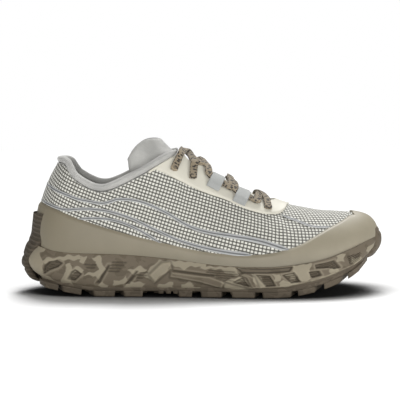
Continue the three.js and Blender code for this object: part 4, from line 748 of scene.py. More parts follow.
class Last:
    """The shoe's form: every point on the upper and the sole, worked out from the sizes and the tables."""

    def __init__(self, sizes):
        self.s = sizes
        names = {
            "foot_x": ("foot_x",), "foot_y": ("foot_lat", "foot_med"), "top_x": ("top_x",),
            "top_y": ("top_lat", "top_med"), "rise": ("rise_lat", "rise_med"), "belly": ("belly",),
            "belly_up": ("belly_up",), "roof": ("roof",), "roof_down": ("roof_down",),
        }
        self.rings = {key: ring_of(UPPER_ROWS, UPPER_COLUMNS, *use) for key, use in names.items()}
        names = {"x": ("x",), "y": ("lat", "med"), "low": ("low",), "high": ("high",)}
        self.sole = {key: ring_of(SOLE_ROWS, SOLE_COLUMNS, *use) for key, use in names.items()}
        self.crossing = self.station_at(-1, RAND_CROSSING * sizes.length, 1.0)
        self.eyestay_from = self.station_at(-1, EYESTAY_FROM * sizes.length, EYESTAY_FROM_V)
        self.eyestay_to = self.station_at(-1, EYESTAY_TO * sizes.length, 1.0)
        self.throat_front = UPPER_ROWS[THROAT_ROW][UPPER_COLUMNS.index("top_x")] * sizes.length

    def footbed(self, x):
        share = np.asarray(x) / self.s.length
        heel = (self.s.heel_stack - self.s.fore_stack) * along(FOOTBED_HEEL, share)
        return self.s.fore_stack + heel + self.s.toe_spring * along(FOOTBED_TOE, share)

    def rim_top(self, x):
        return self.footbed(x) + self.s.rim_height * along(RIM_ROWS, np.asarray(x) / self.s.length)

    def tread_lift(self, x):
        return np.maximum(0, self.s.rocker_rise * along(ROCKER_ROWS, np.asarray(x) / self.s.length))

    def sheet_bottom(self, x):
        return self.tread_lift(x) + self.s.lug_depth

    def midsole_bottom(self, x):
        return self.sheet_bottom(x) + self.s.rubber_sheet

    def outward(self, ring_x, ring_y, at):
        """The direction away from a closed outline, in plan."""
        dx = (round_ring(ring_x, at + RING_STEP) - round_ring(ring_x, at - RING_STEP)) * self.s.length
        dy = (round_ring(ring_y, at + RING_STEP) - round_ring(ring_y, at - RING_STEP)) * self.s.width
        size = np.hypot(dx, dy)
        return dy / size, -dx / size

    def point(self, side, t, v):
        """The upper's outer surface: v is 0 at the footbed and 1 at the collar line or the ridge."""
        t, v = np.broadcast_arrays(np.asarray(t, dtype=float), np.asarray(v, dtype=float))
        at = t if side < 0 else 2 * LAST_ROW - t
        other = 2 * LAST_ROW - at
        read = {key: round_ring(ring, at) for key, ring in self.rings.items()}
        out_x, out_y = self.outward(self.rings["foot_x"], self.rings["foot_y"], at)
        out_y = np.where((t <= 0) | (t >= LAST_ROW), 0, out_y)
        x0, y0 = read["foot_x"] * self.s.length, read["foot_y"] * self.s.width
        z0 = self.footbed(x0)
        rise = read["rise"] * self.s.rise
        x1 = read["top_x"] * self.s.length
        mirror = round_ring(self.rings["top_y"], other)
        y1 = np.where(t >= RIDGE_ROW, (read["top_y"] + mirror) / 2, read["top_y"]) * self.s.width
        belly, roof = read["belly"] * self.s.width, read["roof"] * self.s.width
        p0 = np.stack([x0, y0, z0], axis=-1)
        p1 = p0 + np.stack([out_x * belly, out_y * belly, read["belly_up"] * rise], axis=-1)
        p3 = np.stack([x1, y1, z0 + rise], axis=-1)
        p2 = p3 + np.stack([out_x * roof, out_y * roof, -read["roof_down"] * rise], axis=-1)
        w = v[..., None]
        a, b, c = (1 - w) ** 3, 3 * w * (1 - w) ** 2, 3 * w * w * (1 - w)
        return a * p0 + b * p1 + c * p2 + w**3 * p3

    def normal(self, side, t, v):
        """The outward normal. On the heel's, toe's and ridge's centre lines it has no sideways part."""
        t, v = np.broadcast_arrays(np.asarray(t, dtype=float), np.asarray(v, dtype=float))
        t0, t1 = np.clip(t - NORMAL_STEP, 0, LAST_ROW), np.clip(t + NORMAL_STEP, 0, LAST_ROW)
        v0, v1 = np.clip(v - NORMAL_STEP, 0, 1), np.clip(v + NORMAL_STEP, 0, 1)
        up = self.point(side, t, v1) - self.point(side, t, v0)
        ahead = self.point(side, t1, v) - self.point(side, t0, v)
        usual = np.cross(ahead, up) * -side
        zero = np.zeros_like(t)
        sign = np.where(t <= 0, 1.0, -1.0)
        on_seam = np.stack([-up[..., 2] * sign, zero, up[..., 0] * sign], axis=-1)
        on_ridge = np.stack([-ahead[..., 2], zero, ahead[..., 0]], axis=-1)
        seam = ((t <= 0) | (t >= LAST_ROW))[..., None]
        ridge = ((v >= 1) & (t >= RIDGE_ROW))[..., None]
        return unit(np.where(seam, on_seam, np.where(ridge, on_ridge, usual)))

    def lifted(self, side, t, v, offset):
        """Points at an offset outward from the surface."""
        offset = np.broadcast_to(np.asarray(offset, dtype=float), np.broadcast(t, v).shape)
        return self.point(side, t, v) + self.normal(side, t, v) * offset[..., None]

    def v_at_height(self, side, t, height):
        """The v at which the surface reaches a height."""
        t = np.asarray(t, dtype=float)
        return halve(np.zeros_like(t), np.ones_like(t), lambda v: self.point(side, t, v)[..., 2] < height)

    def station_at(self, side, x, v):
        """The station at which the surface stands over an x, at a height share v."""
        x, v = np.broadcast_arrays(np.asarray(x, dtype=float), np.asarray(v, dtype=float))
        end = np.full_like(x, LAST_ROW)
        return halve(np.zeros_like(x), end, lambda t: self.point(side, t, v)[..., 0] < x)

    def v_below_ridge(self, side, t, down):
        """A v measured down the surface from the ridge, in shares of the width."""
        t = np.atleast_1d(np.asarray(t, dtype=float))
        grid = np.linspace(1, 0, RIDGE_STEPS)
        points = self.point(side, t[:, None], grid[None, :])
        target = np.broadcast_to(np.asarray(down, dtype=float) * self.s.width, t.shape)
        return np.array([np.interp(one, run_along(line), grid) for one, line in zip(target, points)])

    def place_down(self, side, share, down):
        """Station and v of a place given by its x and how far it lies below the ridge."""
        v = np.array([PLACE_START])
        for _ in range(PLACE_ROUNDS):
            t = self.station_at(side, np.array([share * self.s.length]), v)
            v = self.v_below_ridge(side, t, down)
        return float(t[0]), float(v[0])

    def place_up(self, side, share, height):
        """Stations and v of places given by their x and their height over the footbed."""
        share = np.atleast_1d(np.asarray(share, dtype=float))
        v = np.full_like(share, PLACE_START)
        x = share * self.s.length
        for _ in range(PLACE_ROUNDS):
            t = self.station_at(side, x, v)
            v = self.v_at_height(side, t, self.footbed(x) + self.s.rise * height)
        return t, v

    def ridge_y(self, t):
        return self.point(-1, np.maximum(t, RIDGE_ROW), 1.0)[..., 1]

    def throat_edge(self, x):
        ahead = np.clip((self.throat_front - x) / self.s.throat_round, 0, 1)
        return self.s.throat_half * np.sqrt(1 - (1 - ahead) ** 2)

    def top_length(self, side, t):
        """The surface's length for one unit of v, measured at its top."""
        gap = self.point(side, t, 1 - EDGE_SAMPLE) - self.point(side, t, 1.0)
        return np.linalg.norm(gap, axis=-1) / EDGE_SAMPLE

    def top_edge(self, side, t):
        """The upper's top edge: the collar line less its roll, the throat's side, or the ridge."""
        t = np.asarray(t, dtype=float)
        roll = (self.s.binding + self.s.binding_gap) / self.top_length(side, t)
        collar = np.where(t < RIDGE_ROW, 1 - roll, 1.0)
        middle = self.ridge_y(t)
        half = self.throat_edge(self.point(side, t, 1.0)[..., 0])
        across = halve(
            np.zeros_like(t), np.ones_like(t),
            lambda v: np.abs(self.point(side, t, v)[..., 1] - middle) > half,
        )
        return np.where(t >= THROAT_ROW, 1.0, np.where(t < THROAT_START, collar, np.minimum(collar, across)))

    def edge_by_height(self, side, t, search, height):
        """The v of an edge whose height is a function of x."""
        start, rounds = search
        v = np.full_like(t, start)
        for _ in range(rounds):
            v = self.v_at_height(side, t, height(self.point(side, t, v)[..., 0]))
        return v

    def height_over(self, rows):
        """Height as a function of x, from a table of heights over the footbed."""
        return lambda x: self.footbed(x) + self.s.rise * along(rows, x / self.s.length)

    def rand_top(self, side, t):
        """The rand's top edge: its table's height, then the closing over the toe."""
        plain = np.minimum(self.edge_by_height(side, t, RAND_SEARCH, self.height_over(RAND_ROWS)), 1)
        first = np.array([RAND_CLOSING])
        start = np.minimum(self.edge_by_height(side, first, RAND_SEARCH, self.height_over(RAND_ROWS)), 1)[0]
        share = np.clip((t - RAND_CLOSING) / (self.crossing - RAND_CLOSING), 0, 1)
        closing = start + (1 - start) * share**RAND_BEND
        return np.where(t >= self.crossing, 1.0, np.where(t > RAND_CLOSING, closing, plain))

    def eyestay_low(self, side, t):
        low = self.edge_by_height(side, t, EYESTAY_SEARCH, self.height_over(EYESTAY_ROWS))
        return np.minimum(low, self.top_edge(side, t) - EYESTAY_TIP)

    def sole_ring(self, at, grow, inset, height):
        """A ring round the sole. grow and inset are lengths outward and inward, height a function of x."""
        out_x, out_y = self.outward(self.sole["x"], self.sole["y"], at)
        x = round_ring(self.sole["x"], at) * self.s.length + out_x * (grow - inset)
        y = round_ring(self.sole["y"], at) * self.s.width + out_y * (grow - inset)
        return np.stack([x, y, height(x)], axis=-1)

    def sole_wall(self, side, x):
        """Where the sole's widest outline stands at an x on one side."""
        x = np.asarray(x, dtype=float)

        def read(column, row):
            return round_ring(self.sole[column], row if side < 0 else 2 * SOLE_END - row)

        end = np.full_like(x, SOLE_END)
        row = halve(np.zeros_like(x), end, lambda one: read("x", one) * self.s.length < x)
        return read("y", row) * self.s.width


def make_object(name, points, faces, uv=None, tones=None):
    """A smooth-shaded mesh object from points, faces, and one UV pair and named tones for each point."""
    mesh = bpy.data.meshes.new(name)
    mesh.from_pydata(np.asarray(points).reshape(-1, 3).tolist(), [], faces)
    if uv is not None:
        layer = mesh.uv_layers.new(name="UVMap")
        index = np.zeros(len(mesh.loops), dtype=np.int32)
        mesh.loops.foreach_get("vertex_index", index)
        layer.data.foreach_set("uv", np.asarray(uv).reshape(-1, 2)[index].astype(np.float32).ravel())
    for tone, values in (tones or {}).items():
        layer = mesh.attributes.new(tone, "FLOAT", "POINT")
        layer.data.foreach_set("value", np.asarray(values).ravel().astype(np.float32))
    bm = bmesh.new()
    bm.from_mesh(mesh)
    bmesh.ops.remove_doubles(bm, verts=bm.verts, dist=MERGE)
    bmesh.ops.dissolve_degenerate(bm, edges=bm.edges, dist=COLLAPSE)
    bmesh.ops.recalc_face_normals(bm, faces=bm.faces)
    bm.to_mesh(mesh)
    bm.free()
    return place_mesh(name, mesh)


def place_mesh(name, mesh):
    """A smooth-shaded object with a mesh, in the scene."""
    mesh.shade_smooth()
    made = bpy.data.objects.new(name, mesh)
    bpy.context.scene.collection.objects.link(made)
    return made


def grid_faces(rows, columns, start=0, flip=False, ring=False):
    """Quads over a grid of points numbered row by row. ring closes each row on itself."""
    faces = []
    for i in range(rows - 1):
        for j in range(columns if ring else columns - 1):
            a = start + i * columns + j
            b = start + i * columns + (j + 1) % columns
            face = (a, b, b + columns, a + columns)
            faces.append(face[::-1] if flip else face)
    return faces


def shell(name, sheets, uvs):
    """A closed shell from pairs of outer and inner grids of equal size, one pair for each side."""
    points, faces, places = [], [], []
    start = 0
    for (outer, inner), uv in zip(sheets, uvs):
        rows, columns = outer.shape[:2]
        size = rows * columns
        points += [outer.reshape(-1, 3), inner.reshape(-1, 3)]
        places += [uv.reshape(-1, 2), uv.reshape(-1, 2)]
        faces += grid_faces(rows, columns, start)
        faces += grid_faces(rows, columns, start + size, flip=True)
        for j in (0, columns - 1):
            for i in range(rows - 1):
                a = start + i * columns + j
                b = a + columns
                faces.append((a, b, b + size, a + size))
        start += 2 * size
    return make_object(name, np.concatenate(points), faces, np.concatenate(places))


def tube(name, sections):
    """A closed body lofted through rings of points, with its run and its turn as coordinates."""
    count, around = sections.shape[:2]
    faces = grid_faces(count, around, ring=True)
    faces.append(tuple(range(around)))
    faces.append(tuple((count - 1) * around + k for k in range(around))[::-1])
    uv = pair_grid(run_along(sections.mean(axis=1)), np.arange(around) / around)
    return make_object(name, sections, faces, uv)


def join(name, objects):
    """Several mesh objects as one."""
    bm = bmesh.new()
    for item in objects:
        bm.from_mesh(item.data)
    mesh = bpy.data.meshes.new(name)
    bm.to_mesh(mesh)
    bm.free()
    for item in objects:
        old = item.data
        bpy.data.objects.remove(item)
        bpy.data.meshes.remove(old)
    return place_mesh(name, mesh)


def finish_piece(piece, material, slot, *nodes):
    """Gives a piece its material and body, and hides the nodes that it stands for. Its slot is not used."""
    piece.data.materials.clear()
    piece.data.materials.append(material)
    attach(piece, BODY)
    if nodes:
        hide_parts(*nodes)


class Graph:
    """Short calls that add and link a tree's nodes."""

    def __init__(self, tree):
        self.tree = tree

    def node(self, kind, inputs=(), **settings):
        made = self.tree.nodes.new(kind)
        for key, value in settings.items():
            setattr(made, key, value)
        for key, value in dict(inputs).items():
            self.feed(made.inputs[key], value)
        return made

    def feed(self, socket, value):
        if isinstance(value, bpy.types.NodeSocket):
            self.tree.links.new(value, socket)
        else:
            socket.default_value = value

    def math(self, operation, a, b=0.0):
        return self.node("ShaderNodeMath", {0: a, 1: b}, operation=operation).outputs[0]

    def split(self, vector):
        return self.node("ShaderNodeSeparateXYZ", {"Vector": vector}).outputs

    def from_middle(self, value):
        """How far a value is from the middle of its whole number's span."""
        return self.math("ABSOLUTE", self.math("SUBTRACT", self.math("FRACT", value), 0.5))

    def wave(self, value, turns):
        return self.math("SINE", self.math("MULTIPLY", value, 2 * math.pi * turns))

    def ramp(self, value, name):
        """One of the smooth rises, over a value."""
        low, high, *ends = RAMPS[name]
        start, end = ends or (0.0, 1.0)
        inputs = {"Value": value, "From Min": low, "From Max": high, "To Min": start, "To Max": end}
        return self.node("ShaderNodeMapRange", inputs, interpolation_type="SMOOTHSTEP").outputs["Result"]

    def mix(self, factor, a, b):
        """A blend of two colours, which sit on the node's sixth and seventh sockets."""
        return self.node("ShaderNodeMix", {0: factor, 6: a, 7: b}, data_type="RGBA").outputs[2]

    def noise(self, vector, name):
        """One of the noise patterns, over a vector."""
        scale, detail, rough = NOISES[name]
        inputs = {"Vector": vector, "Scale": scale, "Detail": detail, "Roughness": rough}
        return self.node("ShaderNodeTexNoise", inputs).outputs["Fac"]

    def bump(self, height, name, normal=None):
        """One of the bumps, from a height."""
        distance, strength = BUMPS[name]
        made = self.node("ShaderNodeBump", {"Distance": distance, "Strength": strength, "Height": height})
        if normal is not None:
            self.feed(made.inputs["Normal"], normal)
        return made.outputs["Normal"]

    def use(self, tree, **inputs):
        """A node group with its inputs fed."""
        made = self.node("ShaderNodeGroup", node_tree=tree)
        for key, value in inputs.items():
            self.feed(made.inputs[key], value)
        return made.outputs


FLOAT = "NodeSocketFloat"
VECTOR = "NodeSocketVector"


def group(name, inputs, outputs):
    """A new shader node group: its graph, its inputs, and its outputs as float sockets."""
    tree = bpy.data.node_groups.new(name, "ShaderNodeTree")
    for label, kind in inputs.items():
        tree.interface.new_socket(label, in_out="INPUT", socket_type=kind)
    for label in outputs:
        tree.interface.new_socket(label, in_out="OUTPUT", socket_type=FLOAT)
    return Graph(tree), tree.nodes.new("NodeGroupInput").outputs, tree.nodes.new("NodeGroupOutput").inputs


def ripstop_group():
    """Height and masks of a ripstop cloth whose raised cells sit between sunken threads."""
    inputs = {"UV": VECTOR, "Warp": FLOAT, "Weft": FLOAT}
    g, source, sink = group("ripstop", inputs, ("Cell", "Knot", "Fine"))
    parts = g.split(source["UV"])
    wobble = g.math("SUBTRACT", g.noise(source["UV"], "weave_wobble"), 0.5)
    shift = g.math("MULTIPLY", wobble, CLOTH_WOBBLE)
    u = g.math("DIVIDE", g.math("ADD", parts["X"], shift), source["Warp"])
    v = g.math("DIVIDE", g.math("ADD", parts["Y"], shift), source["Weft"])
    beside, under = g.ramp(g.from_middle(u), "thread_beside"), g.ramp(g.from_middle(v), "thread_under")
    gap = g.math("MAXIMUM", g.math("MULTIPLY", beside, CLOTH_WARP), under)
    g.feed(sink["Cell"], g.math("SUBTRACT", 1.0, gap))
    g.feed(sink["Knot"], g.math("MULTIPLY", beside, under))
    g.feed(sink["Fine"], g.math("MULTIPLY", g.wave(u, CLOTH_STRANDS), g.wave(v, CLOTH_STRANDS)))
    return g.tree


def knit_group():
    """Height of a fine brushed knit over the object's own space."""
    g, source, sink = group("knit", {"Vector": VECTOR, "Scale": FLOAT}, ("Height", "Tone"))
    inputs = {0: source["Vector"], "Scale": source["Scale"]}
    scaled = g.node("ShaderNodeVectorMath", inputs, operation="SCALE").outputs[0]
    cells = g.node("ShaderNodeTexVoronoi", {"Vector": scaled, "Scale": 1.0, "Randomness": KNIT_RANDOM})
    loops = g.math("MULTIPLY", cells.outputs["Distance"], KNIT_LOOP)
    g.feed(sink["Height"], g.math("ADD", loops, g.noise(scaled, "knit_fuzz")))
    g.feed(sink["Tone"], g.noise(source["Vector"], "knit_tone"))
    return g.tree


def mottle_group():
    """Masks of sharp-edged patches, like a camouflage print moulded into foam, and a fine grain."""
    g, source, sink = group("mottle", {"Vector": VECTOR}, ("Middle", "Dark", "Grain"))
    bend = g.math("SUBTRACT", g.noise(source["Vector"], "mottle_bend"), 0.5)
    offset = {axis: g.math("MULTIPLY", bend, share) for axis, share in zip("XZ", MOTTLE_BEND)}
    offset = g.node("ShaderNodeCombineXYZ", offset).outputs[0]
    bent = g.node("ShaderNodeVectorMath", {0: source["Vector"], 1: offset}, operation="ADD").outputs[0]
    turned = g.node("ShaderNodeMapping", {"Vector": bent, **MOTTLE_TURN}).outputs[0]
    second = g.node("ShaderNodeMapping", {"Vector": turned, **MOTTLE_SHIFT}).outputs[0]
    along_x = g.split(source["Vector"])["X"]
    ahead, behind = g.ramp(along_x, "mottle_ahead"), g.ramp(along_x, "mottle_behind")
    spread = g.math("SUBTRACT", g.noise(turned, "mottle_broad"), g.math("ADD", ahead, behind))
    g.feed(sink["Middle"], g.ramp(spread, "mottle_middle"))
    dark = g.math("SUBTRACT", g.noise(second, "mottle_other"), ahead)
    g.feed(sink["Dark"], g.ramp(dark, "mottle_dark"))
    g.feed(sink["Grain"], g.noise(source["Vector"], "mottle_grain"))
    return g.tree


def lace_group():
    """Height and flecks of a flat woven lace: chevrons across its width and dark marks at random."""
    g, source, sink = group("woven lace", {"UV": VECTOR}, ("Height", "Fleck"))
    parts = g.split(source["UV"])
    lean = g.math("MULTIPLY", g.from_middle(g.math("MULTIPLY", parts["Y"], LACE_PLIES)), LACE_LEAN)
    run = g.math("ADD", g.math("DIVIDE", parts["X"], LACE_PITCH), lean)
    g.feed(sink["Height"], g.wave(run, 1))
    tall = g.node("ShaderNodeMapping", {"Vector": source["UV"], **FLECK_STRETCH}).outputs[0]
    mark = g.node("ShaderNodeTexVoronoi", {"Vector": tall, **FLECK_CELLS}, voronoi_dimensions="2D")
    g.feed(sink["Fleck"], g.ramp(mark.outputs["Distance"], "lace_fleck"))
    return g.tree


def dim(colour, name=None):
    """A colour as a plain value, or one of its second tones."""
    share = DIMMED[name] if name else 1.0
    return tuple(share * value for value in colour[:3]) + (1.0,)


class Materials:
    """The shoe's materials. Each method adds one's nodes and gives its base colour and its normal."""

    def __init__(self, sizes, colours):
        self.sizes, self.colours = sizes, colours
        self.trees = {
            "ripstop": ripstop_group(), "knit": knit_group(), "mottle": mottle_group(), "lace": lace_group()
        }
        self.made = {}

    def get(self, name):
        """A material, made at its first use."""
        if name not in self.made:
            title, plain = SURFACES[name]
            material = bpy.data.materials.new(title)
            material.use_nodes = True
            shader = material.node_tree.nodes["Principled BSDF"].inputs
            for key, value in plain.items():
                shader[key].default_value = value
            g = Graph(material.node_tree)
            base, normal = getattr(self, name)(g, g.node("ShaderNodeTexCoord").outputs, self.colours)
            g.feed(shader["Base Color"], base)
            if normal is not None:
                g.feed(shader["Normal"], normal)
            self.made[name] = material
        return self.made[name]

    def cloth(self, g, at, c):
        warp, weft = self.sizes.warp_pitch, self.sizes.weft_pitch
        weave = g.use(self.trees["ripstop"], UV=at["UV"], Warp=warp, Weft=weft)
        tone = g.ramp(g.noise(at["UV"], "cloth_tone"), "cloth_tone")
        base = g.mix(weave["Cell"], dim(c.thread), g.mix(tone, dim(c.cloth), dim(c.cloth, "cloth_tone")))
        base = g.mix(g.math("MULTIPLY", weave["Knot"], CLOTH_KNOT), base, dim(c.thread, "cloth_knot"))
        height = g.math("ADD", weave["Cell"], g.math("MULTIPLY", weave["Fine"], CLOTH_FINE))
        return base, g.bump(height, "cloth")

    def film(self, g, at, c):
        across = g.math("SUBTRACT", g.split(at["UV"])["Y"], 0.5)
        middle = g.ramp(g.math("ABSOLUTE", across), "film_line")
        light = g.mix(g.noise(at["Object"], "film_tone"), dim(c.film, "film_tone"), dim(c.film))
        return g.mix(middle, light, dim(c.film_dark)), g.bump(g.math("MULTIPLY", middle, -1.0), "film")

    def rand(self, g, at, c):
        parts = g.split(at["Object"])
        base = g.mix(g.ramp(parts["X"], "rand_ahead"), dim(c.rand), dim(c.rand_toe))
        cloud = g.ramp(g.noise(at["Object"], "rand_cloud"), "rand_cloud")
        base = g.mix(cloud, base, dim(c.rand, "rand_cloud"))
        # The rand is darker towards its lower edge, below a wavy line.
        wave = g.math("MULTIPLY", g.noise(at["Object"], "rand_lower_dark"), RAND_LOWER_WAVE)
        lower_dark = g.ramp(g.math("SUBTRACT", parts["Z"], wave), "rand_lower_dark")
        soft = g.bump(g.noise(at["Object"], "rand_soft"), "rand_soft")
        grain = g.bump(g.noise(at["Object"], "rand_grain"), "rand_grain", soft)
        return g.mix(lower_dark, base, dim(c.rand, "rand_lower_dark")), grain

    def eyestay(self, g, at, c):
        cloud = g.ramp(g.noise(at["Object"], "eyestay_cloud"), "eyestay_cloud")
        soft = g.bump(g.noise(at["Object"], "eyestay_soft"), "eyestay_soft")
        grain = g.bump(g.noise(at["Object"], "eyestay_grain"), "eyestay_grain", soft)
        return g.mix(cloud, dim(c.eyestay), dim(c.eyestay, "eyestay_cloud")), grain

    def knit(self, g, at, c):
        knit = g.use(self.trees["knit"], Vector=at["Object"], Scale=KNIT_SCALE)
        base = g.mix(g.ramp(knit["Tone"], "knit_tone"), dim(c.lining, "knit_tone"), dim(c.lining))
        # The knit's low parts are darker: painted shade in its hollows.
        base = g.mix(g.ramp(knit["Height"], "knit_painted_shade"), base, dim(c.lining, "knit_painted_shade"))
        return base, g.bump(knit["Height"], "knit")

    def foam(self, g, at, c):
        mottle = g.use(self.trees["mottle"], Vector=at["Object"])
        tones = (g.node("ShaderNodeAttribute", attribute_name=tone).outputs["Fac"] for tone in WALL_TONES)
        painted_shade, edge, tread, light = tones
        base = g.mix(mottle["Dark"], dim(c.foam_mid), dim(c.foam_dark))
        base = g.mix(light, base, dim(c.foam_light))
        cloud = g.ramp(g.noise(at["Object"], "foam_cloud"), "foam_cloud")
        base = g.mix(cloud, base, dim(c.foam_mid, "foam_cloud"))
        base = g.mix(tread, base, dim(c.rubber))
        # Painted highlights along the edges of the wall's forms.
        base = g.mix(g.math("MULTIPLY", edge, FOAM_HIGHLIGHT), base, dim(c.foam_light, "foam_painted_highlight"))
        # Painted shade in the wall's hollows, grooves, windows and ribs and below its raised forms.
        return g.mix(painted_shade, base, dim(c.foam_mid, "foam_painted_shade")), g.bump(mottle["Grain"], "foam")

    def tread(self, g, at, c):
        mottle = g.use(self.trees["mottle"], Vector=at["Object"])
        base = g.mix(mottle["Middle"], dim(c.rubber), dim(c.rubber, "tread_patch"))
        return base, g.bump(g.noise(at["Object"], "rubber_grain"), "tread")

    def wrap_rubber(self, g, at, c):
        parts = g.split(at["UV"])
        chevron = g.math("ADD", g.math("DIVIDE", parts["X"], WRAP_PITCH), g.math("ABSOLUTE", parts["Y"]))
        tooth = g.ramp(g.from_middle(chevron), "wrap_tooth")
        cloud = g.ramp(g.noise(at["Object"], "wrap_cloud"), "wrap_cloud")
        base = g.mix(cloud, dim(c.rubber, "wrap_cloud"), dim(c.rubber, "wrap_plain"))
        height = g.math("ADD", g.noise(at["Object"], "rubber_grain"), g.math("MULTIPLY", tooth, WRAP_TOOTH))
        # The grooves between the teeth are darker: painted shade in them.
        return g.mix(tooth, base, dim(c.rubber, "wrap_tooth")), g.bump(height, "wrap")

    def woven(self, g, at, c):
        lace = g.use(self.trees["lace"], UV=at["UV"])
        # The weave's low parts are darker: painted shade.
        base = g.mix(g.ramp(lace["Height"], "lace_height"), dim(c.lace, "lace_painted_shade"), dim(c.lace))
        return g.mix(lace["Fleck"], base, dim(c.lace_fleck)), g.bump(lace["Height"], "lace")

    def webbing(self, g, at, c):
        parts = g.split(at["UV"])
        strand = g.math("MULTIPLY", g.wave(parts["Y"], WEBBING_STRANDS), WEBBING_STRAND)
        height = g.math("ADD", g.wave(parts["X"], 1 / WEBBING_PITCH), strand)
        # The weave's low parts are darker: painted shade.
        base = g.mix(g.ramp(height, "webbing"), dim(c.webbing, "webbing_painted_shade"), dim(c.webbing))
        return base, g.bump(height, "webbing")

    def thread(self, g, at, c):
        twist = g.noise(at["Object"], "thread_twist")
        # The thread's low parts are darker: painted shade.
        return g.mix(twist, dim(c.lining, "thread_painted_shade"), dim(c.lining)), g.bump(twist, "thread")

    def floor(self, g, _, c):
        # The floor darkens near the shoe by ambient occlusion: a painted contact shadow.
        occlusion = g.node("ShaderNodeAmbientOcclusion", {"Distance": FLOOR_REACH}, samples=FLOOR_SAMPLES)
        seen = g.ramp(occlusion.outputs["AO"], "floor_open")
        return g.mix(seen, dim(c.floor, "floor_shadow"), dim(c.floor)), None


SHOP = {}


def last():
    """The shoe's form, sizes and materials, made at their first use."""
    if not SHOP:
        scene = bpy.context.scene
        SHOP["last"] = Last(scene.shoe_sizes)
        SHOP["materials"] = Materials(scene.shoe_sizes, scene.shoe_colours)
    return SHOP["last"], SHOP["last"].s, SHOP["materials"]


def crease_depth(form, points):
    """How far the upper's outside is pulled in at each point by the listed creases."""
    x, z = points[..., 0], points[..., 2]
    depth = np.zeros_like(x)
    for share, height, run, width, slope, deep in CREASES:
        cx = share * form.s.length
        cz = form.footbed(cx) + height * form.s.rise
        along_x, along_z = 1 / math.hypot(1, slope), slope / math.hypot(1, slope)
        a = (x - cx) * along_x + (z - cz) * along_z
        b = (z - cz) * along_x - (x - cx) * along_z
        depth -= deep * np.exp(-((a / run) ** 2) - (b / width) ** 2)
    return depth


def weave_uv(form, side, t, v):
    """The cloth's own coordinates, in metres along its level and its upright threads."""
    rows, climbs = (np.linspace(0, end, count) for end, count in zip((LAST_ROW, 1), WEAVE_GRID))
    points = form.point(side, *np.meshgrid(rows, climbs, indexing="ij"))
    start = int(np.argmin(np.abs(rows - CLOTH_STATION)))
    foot = int(np.argmin(np.abs(climbs - CLOTH_FOOT)))
    run = np.zeros(points.shape[:2])
    run[1:] = np.cumsum(np.linalg.norm(np.diff(points[..., :2], axis=0), axis=-1), axis=0)
    run += points[start, :, 0] - run[start]
    up = np.zeros(points.shape[:2])
    up[:, 1:] = np.cumsum(np.linalg.norm(np.diff(points[..., 1:], axis=1), axis=-1), axis=1)
    up += (points[:, foot, 2] - up[:, foot])[:, None]
    drop = np.zeros_like(rows)
    drop[1:] = np.cumsum(along(WEFT_SLOPE, points[:-1, foot, 0] / form.s.length) * np.diff(run[:, foot]))
    drop = np.interp(run, run[:, foot], drop)
    lean = along(WARP_LEAN, points[..., 0] / form.s.length)
    table = np.stack([run - lean * (up - CLOTH_HEIGHT), up + drop], axis=-1)
    a, b = t / LAST_ROW * (len(rows) - 1), v * (len(climbs) - 1)
    i = np.clip(np.floor(a), 0, len(rows) - 2).astype(int)
    j = np.clip(np.floor(b), 0, len(climbs) - 2).astype(int)
    f, g = (a - i)[..., None], (b - j)[..., None]
    near = table[i, j] * (1 - g) + table[i, j + 1] * g
    far = table[i + 1, j] * (1 - g) + table[i + 1, j + 1] * g
    return near * (1 - f) + far * f


def side_grid(stations, low, high, count):
    """Stations and heights of a grid between two edges of the upper."""
    v = low[:, None] + (high - low)[:, None] * np.linspace(0, 1, count)[None, :]
    return np.broadcast_to(stations[:, None], v.shape), v


def upper_stations(count):
    """Stations along the upper, closer together at the throat's rounded front."""
    return np.unique(np.concatenate([np.linspace(0, LAST_ROW, count), np.linspace(*THROAT_FRONT_ROWS)]))


def make_upper():
    form, s, materials = last()
    count, climbs = UPPER_GRID
    stations = upper_stations(count)
    sheets, uvs = [], []
    for side, _ in SIDES:
        top = form.top_edge(side, stations)
        t, v = side_grid(stations, np.zeros_like(top), top, climbs)
        fade = step_up(top[:, None] - v, 0, CREASE_TOP) * step_up(v, 0, CREASE_FOOT)
        outer = form.lifted(side, t, v, crease_depth(form, form.point(side, t, v)) * fade)
        sheets.append((outer, form.lifted(side, t, v, -CLOTH_DEPTH * s.wall)))
        uvs.append(weave_uv(form, side, t, v))
    finish_piece(shell("upper_cloth", sheets, uvs), materials.get("cloth"), "ripstop", "upper")


def make_lining():
    form, s, materials = last()
    count, climbs = LINING_GRID
    stations = upper_stations(count)
    sheets, uvs = [], []
    for side, _ in SIDES:
        top = form.top_edge(side, stations)
        t, v = side_grid(stations, np.full_like(top, LINING_FOOT), top, climbs)
        from_top = top[:, None] - v
        swell = step_up(from_top, *PAD_TOP) * step_up(-from_top, *PAD_LOW) * step_up(-t, *PAD_THROAT)
        pad = LINING_PAD * swell * step_up(t, *PAD_HEEL)
        pad = pad + HEEL_SEAM_PAD * (1 - step_up(t, 0.0, 2 * HEEL_SEAM_ROW))
        inner = form.lifted(side, t, v, -s.wall - pad)
        middle = form.point(side, t, v)[..., 1]
        inner[..., 1] = middle + (inner[..., 1] - middle) * np.clip(t / HEEL_SEAM_ROW, 0, 1)
        sheets.append((form.lifted(side, t, v, -LINING_DEPTH * s.wall), inner))
        uvs.append(np.stack([t, v], axis=-1))
    lining = shell("upper_lining", sheets, uvs)
    finish_piece(lining, materials.get("knit"), "lining")


